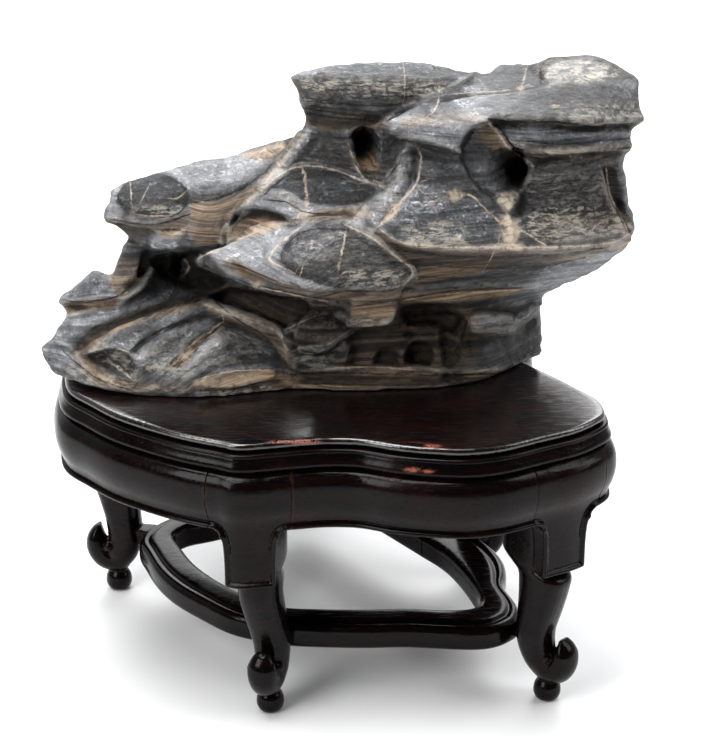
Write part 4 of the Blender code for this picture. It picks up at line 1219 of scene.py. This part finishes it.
class Lattice:
    """Smooth noise from a seeded lattice of random values."""
    SIZE = 64

    def __init__(self, seed):
        self.values = np.random.default_rng(seed).uniform(-1, 1, (self.SIZE,) * 3)

    def once(self, points):
        base = np.floor(points).astype(int)
        f = points - base
        f = f * f * (3 - 2 * f)
        total = 0.0
        for dx in (0, 1):
            for dy in (0, 1):
                for dz in (0, 1):
                    corner = (base + (dx, dy, dz)) % self.SIZE
                    weight = 1.0
                    for k, step in enumerate((dx, dy, dz)):
                        weight = weight * (f[:, k] if step else 1 - f[:, k])
                    total = total + weight * self.values[corner[:, 0], corner[:, 1], corner[:, 2]]
        return total

    def __call__(self, points, size, octaves=3):
        total, gain = 0.0, 1.0
        for k in range(octaves):
            total = total + gain * self.once(points / size * 2 ** k + 17.3 * k)
            gain *= 0.5
        return total


# what lies behind the nearest surface of its cell by more than the slack fades out of sight
SIGHT_CELL = 3                 # in pixels
SIGHT_SLACK, SIGHT_FADE = 7, 6


class Skin:
    """Vertices, normals and neighbours of a mesh, in millimetres."""

    def __init__(self, ob):
        me = ob.data
        self.mesh = me
        self.co = vertex_array(ob) / MM
        edges = np.empty(len(me.edges) * 2, int)
        me.edges.foreach_get("vertices", edges)
        self.a, self.b = edges.reshape(-1, 2).T
        count = len(self.co)
        self.degree = np.bincount(self.a, minlength=count) + np.bincount(self.b, minlength=count)
        self.refresh()

    def refresh(self):
        """Write the vertices back to the mesh and read its normals."""
        self.mesh.vertices.foreach_set("co", (self.co * MM).ravel())
        self.mesh.update()
        normals = np.empty(len(self.co) * 3)
        self.mesh.vertex_normals.foreach_get("vector", normals)
        self.normal = normals.reshape(-1, 3)

    def average(self, values):
        """Each vertex's mean over its neighbours."""
        total = np.zeros_like(values)
        for k in range(values.shape[1]):
            total[:, k] = (np.bincount(self.a, values[self.b, k], len(self.co))
                           + np.bincount(self.b, values[self.a, k], len(self.co)))
        return total / self.degree[:, None]

    def smooth(self, values, rounds):
        for _ in range(rounds):
            values = 0.5 * values + 0.5 * self.average(values)
        return values

    def seen(self):
        """1 where the camera sees the surface, easing to 0 where it turns away or is hidden."""
        px, depth = to_pixels(self.co)
        cell = np.floor(px / SIGHT_CELL).astype(int)
        cell -= cell.min(0)
        key = cell[:, 0] * (cell[:, 1].max() + 1) + cell[:, 1]
        nearest = np.full(key.max() + 1, 1e9)
        np.minimum.at(nearest, key, depth)
        clear = np.clip(1 - (depth - nearest[key] - SIGHT_SLACK) / SIGHT_FADE, 0, 1)
        to_eye = EYE - self.co
        facing = np.sum(self.normal * to_eye, 1) / np.linalg.norm(to_eye, axis=1)
        return px, self.smooth((clear * np.clip((facing + 0.05) / 0.25, 0, 1))[:, None], 2)[:, 0]


def near(px, outline, reach):
    """Numbers of the vertices within reach of the outline's box, in pixels."""
    line = np.asarray(outline)
    low, high = line.min(0) - reach, line.max(0) + reach
    return np.flatnonzero(np.all((px > low) & (px < high), axis=1))


def bed_height(px, co):
    """Height across the beds of the strata, in millimetres; the slope changes from place to place."""
    weights, heights = [], []
    for centre, reach, slope in BEDS:
        a = math.radians(slope)
        weights.append(np.exp(-np.sum((px - centre) ** 2, 1) / reach ** 2) + 1e-6)
        heights.append((px[:, 0] - centre[0]) * math.sin(a) + (px[:, 1] - centre[1]) * math.cos(a)
                       + centre[1])
    weights = np.array(weights)
    return (weights * np.array(heights)).sum(0) / weights.sum(0) / 1.6 + co[:, 1] * 0.35


def level_depth(px, start, depth, right, down):
    return depth + right * (px[:, 0] - start[0]) + down * (px[:, 1] - start[1])


def bowl_depth(px, rim, deepest, reach, extra):
    return rim + extra * np.exp(-np.sum(((px - deepest) / reach) ** 2, 1))


def lay_levels(skin):
    """Lay areas at a depth from the camera, whatever the solid has there."""
    areas = [(outline, soft, level_depth, shape) for outline, soft, *shape in LEVELS.values()]
    areas += [(outline, soft, bowl_depth, shape) for outline, soft, *shape in BOWLS.values()]
    for outline, soft, depth_at, shape in areas:
        px, depth = to_pixels(skin.co)
        where = near(px, outline, LEVEL_MARGIN)
        off = depth_at(px[where], *shape) - depth[where]
        ray = skin.co[where] - EYE
        facing = -np.sum(skin.normal[where] * ray, 1) / np.linalg.norm(ray, axis=1)
        clear = skin.co[where, 2] > TOP_Z + CLEAR_OF_BED
        free = (np.abs(off) < LEVEL_REACH) & clear & (facing > TURNED_AWAY)
        weight = inside(px[where], outline, soft) * free
        skin.co[where] += ray * (weight * off / depth[where])[:, None]
        skin.refresh()


def block_out(skin):
    """Push whole areas back or forward along the line of sight."""
    skin.co = skin.smooth(skin.co, 4)
    skin.refresh()
    lay_levels(skin)
    px, seen = skin.seen()
    away = skin.co - EYE
    away /= np.linalg.norm(away, axis=1, keepdims=True)
    push = np.zeros(len(px))
    for outline, soft, depth in PUSHES.values():
        where = near(px, outline, AREA_MARGIN)
        push[where] += depth * inside(px[where], outline, soft) * seen[where]
    push[skin.co[:, 2] < TOP_Z + PUSH_BED] = 0.0
    skin.co = skin.co + away * push[:, None]
    px, depth = to_pixels(skin.co)
    for centre, reach, (right, down) in TUGS.values():
        pull = np.exp(-np.sum((px - centre) ** 2, 1) / reach ** 2) * depth / FOCAL_PX
        skin.co[:, 0] += pull * right
        skin.co -= (pull * down)[:, None] * UP
    skin.refresh()


def sculpt(skin):
    """Press ridges, grooves, facets and strata into the fused stone."""
    noise = Lattice(SCULPT_SEED)
    skin.co = skin.smooth(skin.co, 2)
    skin.refresh()
    px, seen = skin.seen()
    push = np.zeros(len(px))
    for line, width, height in STROKES.values():
        curve = spline(line, 6)
        where = near(px, curve, 3 * width)
        d, _, along, length = distance_to(px[where], curve)
        ends = np.clip(np.minimum(along, length - along) / (2.5 * width) + 0.25, 0, 1)
        push[where] += height * ends * np.exp(-(d / width) ** 2) * seen[where]
    for outline, soft, depth in FACETS.values():
        where = near(px, outline, AREA_MARGIN)
        push[where] -= depth * inside(px[where], outline, soft) * seen[where]
    beds = bed_height(px, skin.co)
    rough = noise(skin.co, 26.0, 3)
    layer = noise(np.column_stack((beds * 5, skin.co[:, 0] * 0.5, skin.co[:, 2] * 0.5)), 18.0, 3)
    push += 0.5 * layer + 0.9 * rough * (1 - 0.7 * seen)
    push += 0.45 * noise(skin.co, 6.0, 3)
    push[skin.co[:, 2] < TOP_Z + SCULPT_BED] = 0.0
    skin.co = skin.co + skin.normal * push[:, None]
    skin.co[:, 2] = np.maximum(skin.co[:, 2], TOP_Z + GAP)
    skin.refresh()


def line_channels(px, group):
    """Signed distance to the nearest line in half widths, and a mask that is 1 beside the line."""
    side = np.full(len(px), 6.0)
    mask = np.zeros(len(px))
    closest = np.full(len(px), 1e9)
    for line, width in group.values():
        curve = spline(line, 5)
        where = near(px, curve, LINE_MARGIN)
        d, sign, along, length = distance_to(px[where], curve)
        nearer = d < closest[where]
        taper = np.clip(np.minimum(along, length - along) / 4 + 0.55, 0, 1)
        side[where] = np.where(nearer, d * sign / (width * taper), side[where])
        mask[where] = np.where(nearer, np.clip(2.2 - d / 4, 0, 1), mask[where])
        closest[where] = np.minimum(closest[where], d)
    return np.clip(side, -8, 8), mask


def paint(ob):
    """Store where each kind of stone shows, and where shade and light are painted on, for the material to
    read.
    """
    skin = Skin(ob)
    px, seen = skin.seen()
    noise = Lattice(PAINT_SEED)
    hidden = 1 - seen
    layers = {}
    for kind, patches in PATCHES.items():
        value = np.zeros(len(px))
        for outline, soft, strength in patches.values():
            where = near(px, outline, PATCH_MARGIN)
            value[where] = np.maximum(value[where], strength * inside(px[where], outline, soft))
        layers[kind] = value * seen
    # painted highlight along raised strokes, and painted shade along grooves
    for name, sign in (("crest", 1), ("groove", -1)):
        layers[name] = np.zeros(len(px))
        for line, width, height in STROKES.values():
            if height * sign > 0:
                curve = spline(line, 6)
                where = near(px, curve, 2 * width)
                d, _, _, _ = distance_to(px[where], curve)
                mark = min(1.0, abs(height) / 4) * np.exp(-(d / (0.55 * width)) ** 2)
                layers[name][where] = np.maximum(layers[name][where], mark)
        layers[name] *= seen
    beds = bed_height(px, skin.co)
    bands = noise(np.column_stack((beds * 3, skin.co[:, 0] * 0.4, skin.co[:, 1] * 0.4)), 30.0, 2)
    blotch = noise(skin.co, 34.0, 3)
    layers["tan"] = np.maximum(layers["tan"], hidden * np.clip(bands * 1.4 - 0.25, 0, 0.55))
    layers["dark"] = np.maximum(layers["dark"], hidden * np.clip(blotch * 1.5, 0, 0.9))
    layers["pale_and_painted_light"] = np.maximum(layers["pale_and_painted_light"], hidden * np.clip(0.1 - blotch, 0, 0.5))
    spots = noise(skin.co + 40, 22.0, 2)
    layers["fleck"] = np.maximum(layers["fleck"], hidden * np.clip(spots * 1.6 - 0.4, 0, 0.8))
    for kind, groups in (("vein", VEINS), ("crack", CRACKS)):
        for number, group in enumerate(groups):
            side, mask = line_channels(px, group)
            layers["%s_side_%d" % (kind, number)] = side
            layers["%s_mask_%d" % (kind, number)] = mask * seen
    coarse = skin.smooth(skin.co, 10)
    fine = skin.smooth(skin.co, 2)
    layers["relief"] = np.sum(skin.normal * (fine - coarse), 1)
    layers["beds"] = beds
    layers["hidden"] = hidden
    for name, values in layers.items():
        set_attribute(ob, name, values)


# linear colours of the stone
GREY = (0.97, 0.985, 1.03)
BROWN_DARK, BROWN_LIGHT = (0.090, 0.056, 0.031), (0.40, 0.280, 0.165)
BROWN_THREAD = (0.024, 0.016, 0.010)
CUT_BLACK = (0.010, 0.0095, 0.009)
WORN_GREY = (0.33, 0.325, 0.315)
# painted shade in hollows
PAINTED_HOLLOW_SHADE = (0.020, 0.0145, 0.010)
# painted highlight on crests, standing also for worn edges
CREST_HIGHLIGHT_GREY = (0.46, 0.45, 0.43)
# painted shade in grooves
GROOVE_SHADE_BROWN = (0.014, 0.010, 0.007)
# painted shade patches, streaked from the darker to the lighter brown
PAINTED_SHADE_DARK, PAINTED_SHADE_LIGHT = (0.007, 0.0055, 0.0045), (0.034, 0.024, 0.016)
CHALK_WHITE = (0.50, 0.465, 0.40)
CRACK_BLACK = (0.010, 0.0075, 0.006)
VEIN_CREAM = (0.54, 0.46, 0.37)
DEEPEN, BRIGHTEN = 1.3, 1.65   # darks are deepened, then the whole is made brighter


def stone():
    """Grey limestone with brown beds, chipped, under cream veins and dark cracks; shade is painted into
    its hollows, grooves and patches, and highlight along its crests.
    """
    n = Nodes("weathered_limestone")
    read = n.attribute
    here = n.position()
    beds = read("beds")
    split = n.add("ShaderNodeSeparateXYZ", {0: here})
    strata = n.add("ShaderNodeCombineXYZ", {0: n.times(beds, 0.9),
                                            1: n.times(split.outputs[0], 14.0),
                                            2: n.times(split.outputs[1], 14.0)}).outputs[0]
    streaks = n.noise(strata, 0.36, detail=7.0, rough=0.68, distortion=0.2)
    threads = n.noise(strata, 1.5, detail=4.0, rough=0.65, distortion=0.4)
    clouds = n.noise(here, 34.0, detail=6.0, rough=0.65)
    mottle = n.noise(here, 95.0, detail=5.0, rough=0.65, distortion=0.6)
    grit = n.noise(here, 620.0, detail=4.0, rough=0.75)
    crumbs = n.noise(here, 150.0, detail=7.0, rough=0.78, distortion=0.3)
    chips = n.noise(n.position(scale=(170.0, 220.0, 300.0)), 1.0, detail=5.0, rough=0.75, distortion=0.35)
    smears = n.noise(n.position(scale=(120.0, 160.0, 620.0)), 1.0, detail=6.0, rough=0.75, distortion=0.3)
    dark, tan, pale_and_painted_light = read("dark"), read("tan"), read("pale_and_painted_light")
    relief = read("relief")
    rugged = n.plus(n.times(dark, 0.70), 0.30)

    # grey body: clouded, banded and chipped, and calmer in the pale patches, which also carry painted
    # light
    calm = n.less(1.0, n.times(pale_and_painted_light, 0.65))
    shade = n.times(n.ramp(clouds, 0.32, 0.70, 0.75, 1.25), n.ramp(mottle, 0.36, 0.66, 0.68, 1.35))
    shade = n.plus(n.times(n.less(shade, 1.0), calm), 1.0)
    banding = n.less(n.ramp(streaks, 0.40, 0.60, 0.42, 1.55), 1.0)
    banding = n.times(banding, calm)
    shade = n.times(shade, n.plus(banding, 1.0))
    broken = n.times(n.ramp(chips, 0.56, 0.61, 1.0, 2.2), n.ramp(chips, 0.45, 0.40, 1.0, 0.30))
    broken = n.times(broken, n.ramp(grit, 0.39, 0.61, 0.45, 1.75))
    broken = n.plus(n.times(n.less(broken, 1.0), rugged), 1.0)
    shade = n.times(shade, broken)
    # pale grey, with painted light, where the pale patches lie
    bright = n.plus(n.times(pale_and_painted_light, 0.195), 0.088)
    bright = n.times(bright, n.less(1.0, n.times(dark, 0.50)))
    grey = n.scale(GREY, n.times(shade, bright))
    # brown beds, and the black cuts between the thinnest of them
    brown = n.mix(n.ramp(streaks, 0.38, 0.63), BROWN_DARK, BROWN_LIGHT)
    brown = n.mix(n.times(n.ramp(threads, 0.50, 0.41), 0.65), brown, BROWN_THREAD)
    # the brown is lighter too where the pale patches and their painted light lie
    brown = n.scale(brown, n.plus(1.0, n.times(pale_and_painted_light, 0.7)))
    base = n.mix(n.times(tan, n.ramp(clouds, 0.25, 0.5, 0.5, 0.85)), grey, brown)
    cuts = n.times(n.ramp(threads, 0.41, 0.35), n.ramp(clouds, 0.44, 0.54))
    cuts = n.times(cuts, n.less(0.75, n.times(pale_and_painted_light, 0.5)))
    base = n.mix(cuts, base, CUT_BLACK)
    # worn edges, painted shade in the hollows, painted highlight on drawn crests (also worn edges),
    # painted shade in drawn grooves and patches, and chalk
    worn = n.times(n.ramp(relief, 0.12, 0.60), n.ramp(crumbs, 0.36, 0.60))
    base = n.mix(n.times(worn, 0.45), base, WORN_GREY)
    # painted shade darkens the concave places
    hollow_shade = n.ramp(relief, -0.12, -0.7)
    base = n.mix(n.times(hollow_shade, 0.7), base, PAINTED_HOLLOW_SHADE)
    # painted highlight along raised strokes, standing also for worn edges
    crest = n.times(read("crest"), n.ramp(crumbs, 0.40, 0.60, 0.2, 0.9))
    base = n.mix(crest, base, CREST_HIGHLIGHT_GREY)
    # painted shade along the drawn grooves
    groove = n.times(read("groove"), n.ramp(crumbs, 0.62, 0.42, 0.45, 0.95))
    base = n.mix(groove, base, GROOVE_SHADE_BROWN)
    # painted shade patches
    painted_shade_amount = n.times(read("painted_shade"), n.ramp(crumbs, 0.62, 0.40, 0.72, 1.0))
    painted_shade = n.mix(n.ramp(streaks, 0.40, 0.62), PAINTED_SHADE_DARK, PAINTED_SHADE_LIGHT)
    base = n.mix(painted_shade_amount, base, painted_shade)
    chalk = n.times(read("fleck"), n.ramp(smears, 0.455, 0.54))
    chalk = n.times(chalk, n.ramp(crumbs, 0.38, 0.52))
    base = n.mix(n.times(chalk, 0.85), base, CHALK_WHITE)
    # veins and cracks: the drawn ones, and stray veins on the side that the camera can't see
    cream = n.times(read("cream"), n.ramp(crumbs, 0.34, 0.56))
    wobble = n.times(n.less(n.noise(here, 330.0, detail=4.0, rough=0.7), 0.5), 4.5)
    lines = {}
    for kind, groups in (("vein", VEINS), ("crack", CRACKS)):
        lines[kind] = 0.0
        for number in range(len(groups)):
            offset = n.math("ABSOLUTE", n.plus(read("%s_side_%d" % (kind, number)), wobble))
            beside = n.ramp(read("%s_mask_%d" % (kind, number)), 0.25, 0.6)
            line = n.times(n.ramp(offset, 1.15, 0.30), beside)
            lines[kind] = n.larger(lines[kind], line)
    crack = n.times(lines["crack"], n.ramp(crumbs, 0.62, 0.44, 0.35, 0.95))
    base = n.mix(crack, base, CRACK_BLACK)
    cream = n.larger(cream, n.times(lines["vein"], n.ramp(crumbs, 0.34, 0.60, 0.15, 1.0)))
    wander = n.noise(n.position(rotation=(0.4, 0.7, 0.1)), 15.0, detail=3.0, distortion=0.5)
    lone = n.math("ABSOLUTE", n.less(wander, 0.5))
    lone = n.times(n.ramp(lone, 0.0062, 0.0022), n.ramp(clouds, 0.52, 0.60))
    cream = n.larger(cream, n.times(lone, read("hidden")))
    base = n.mix(n.times(cream, 0.9), base, VEIN_CREAM)
    deeper = n.add("ShaderNodeGamma", {"Color": base, "Gamma": DEEPEN}).outputs[0]
    base = n.scale(deeper, BRIGHTEN)

    # gloss and relief
    rough = n.ramp(n.plus(mottle, n.times(grit, 0.5)), 0.55, 1.0, 0.27, 0.55)
    rough = n.math("ADD", rough, n.times(n.larger(cream, chalk), 0.25), clamp=True)
    normal = n.bump(streaks, 0.0032, 0.7)
    normal = n.bump(n.less(1.0, lines["crack"]), 0.0012, 0.8, normal)
    normal = n.bump(n.times(rugged, n.ramp(chips, 0.36, 0.64)), 0.0032, 0.9, normal)
    normal = n.bump(n.times(rugged, crumbs), 0.0045, 0.8, normal)
    normal = n.bump(n.times(rugged, grit), 0.0008, 0.8, normal)
    return n.principled({"Base Color": base, "Roughness": rough, "Normal": normal})


def build_rock():
    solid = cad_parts["rock"].data
    rock = bpy.data.objects.new("weathered_rock", solid.copy())
    bpy.context.scene.collection.objects.link(rock)
    fuse(rock, BLOCK_VOXEL, 0)
    block_out(Skin(rock))
    fuse(rock, VOXEL, 0)
    sculpt(Skin(rock))
    thin(rock, ROCK_TRIANGLES)
    paint(rock)
    shade(rock, stone())
    finish_piece(rock, "rock")


# ---- stage ---------------------------------------------------------------------------
FLOOR_HALF = 6.0               # metres
PAPER_DARK, PAPER_LIGHT = (0.90, 0.90, 0.905), (0.92, 0.92, 0.925)
ROOM_COLOUR = (0.97, 0.985, 1.0, 1.0)
SENSOR_WIDTH = 36.0
# the room's light rises from the front of the room to its back: (how far back, strength) at both ends
ROOM_FRONT, ROOM_BACK = (-0.25, 0.04), (0.75, 1.05)
# name: (place, aimed at, size, watts), in metres
LAMPS = {
    "top_softbox": ((-0.35, -0.25, 1.5), (0, 0, 0.1), (0.8, 0.8), 20),
    "left_softbox": ((-1.1, -1.1, 1.1), (0, 0, 0.2), (0.8, 1.0), 18),
    "right_softbox": ((1.3, -0.3, 1.1), (0, 0, 0.2), (0.6, 1.2), 10),
    "back_panel": ((0.35, 2.2, 1.25), (0.1, 0, 0.2), (1.8, 1.0), 20),
    "rear_softbox": ((0.0, 1.7, 1.9), (0, 1.2, 0.0), (2.4, 1.0), 50),
}


def area_light(name, where, target, size, power):
    data = bpy.data.lights.new(name, "AREA")
    data.shape = "RECTANGLE"
    data.size, data.size_y = size
    data.energy = power
    ob = bpy.data.objects.new(name, data)
    ob.location = where
    ob.rotation_euler = (Vector(target) - Vector(where)).to_track_quat("-Z", "Y").to_euler()
    bpy.context.scene.collection.objects.link(ob)


def build_floor():
    bm = bmesh.new()
    corners = ((-1, -1), (1, -1), (1, 1), (-1, 1))
    bm.faces.new([bm.verts.new((x * FLOOR_HALF, y * FLOOR_HALF, 0)) for x, y in corners])
    floor = new_object("floor", bm)
    n = Nodes("white_paper")
    tint = n.mix(n.noise(n.position(), 3.0), PAPER_DARK, PAPER_LIGHT)
    floor.data.materials.append(n.principled({"Base Color": tint, "Roughness": 0.9}))


def build_room():
    """Light from the room, brighter towards its back, and the lamps."""
    world = bpy.data.worlds.new("studio")
    bpy.context.scene.world = world
    world.use_nodes = True
    tree = world.node_tree
    coord = tree.nodes.new("ShaderNodeTexCoord")
    split = tree.nodes.new("ShaderNodeSeparateXYZ")
    tree.links.new(coord.outputs["Generated"], split.inputs[0])
    span = tree.nodes.new("ShaderNodeMapRange")
    for end, (place, strength) in (("Min", ROOM_FRONT), ("Max", ROOM_BACK)):
        span.inputs["From " + end].default_value = place
        span.inputs["To " + end].default_value = strength
    tree.links.new(split.outputs["Y"], span.inputs["Value"])
    tree.links.new(span.outputs[0], tree.nodes["Background"].inputs["Strength"])
    tree.nodes["Background"].inputs["Color"].default_value = ROOM_COLOUR

    for name, (where, target, size, power) in LAMPS.items():
        area_light(name, where, target, size, power)


def build_camera():
    cam = bpy.data.cameras.new("camera")
    cam.sensor_width = SENSOR_WIDTH
    cam.lens = FOCAL_PX * cam.sensor_width / max(IMAGE)
    ob = bpy.data.objects.new("camera", cam)
    ob.location = Vector(EYE.tolist()) * MM
    ob.rotation_euler = (math.pi / 2 - PITCH, 0, 0)
    bpy.context.scene.collection.objects.link(ob)
    bpy.context.scene.camera = ob
    bpy.context.scene.view_settings.view_transform = "Standard"


build_stand()
build_rock()
build_floor()
build_room()
build_camera()
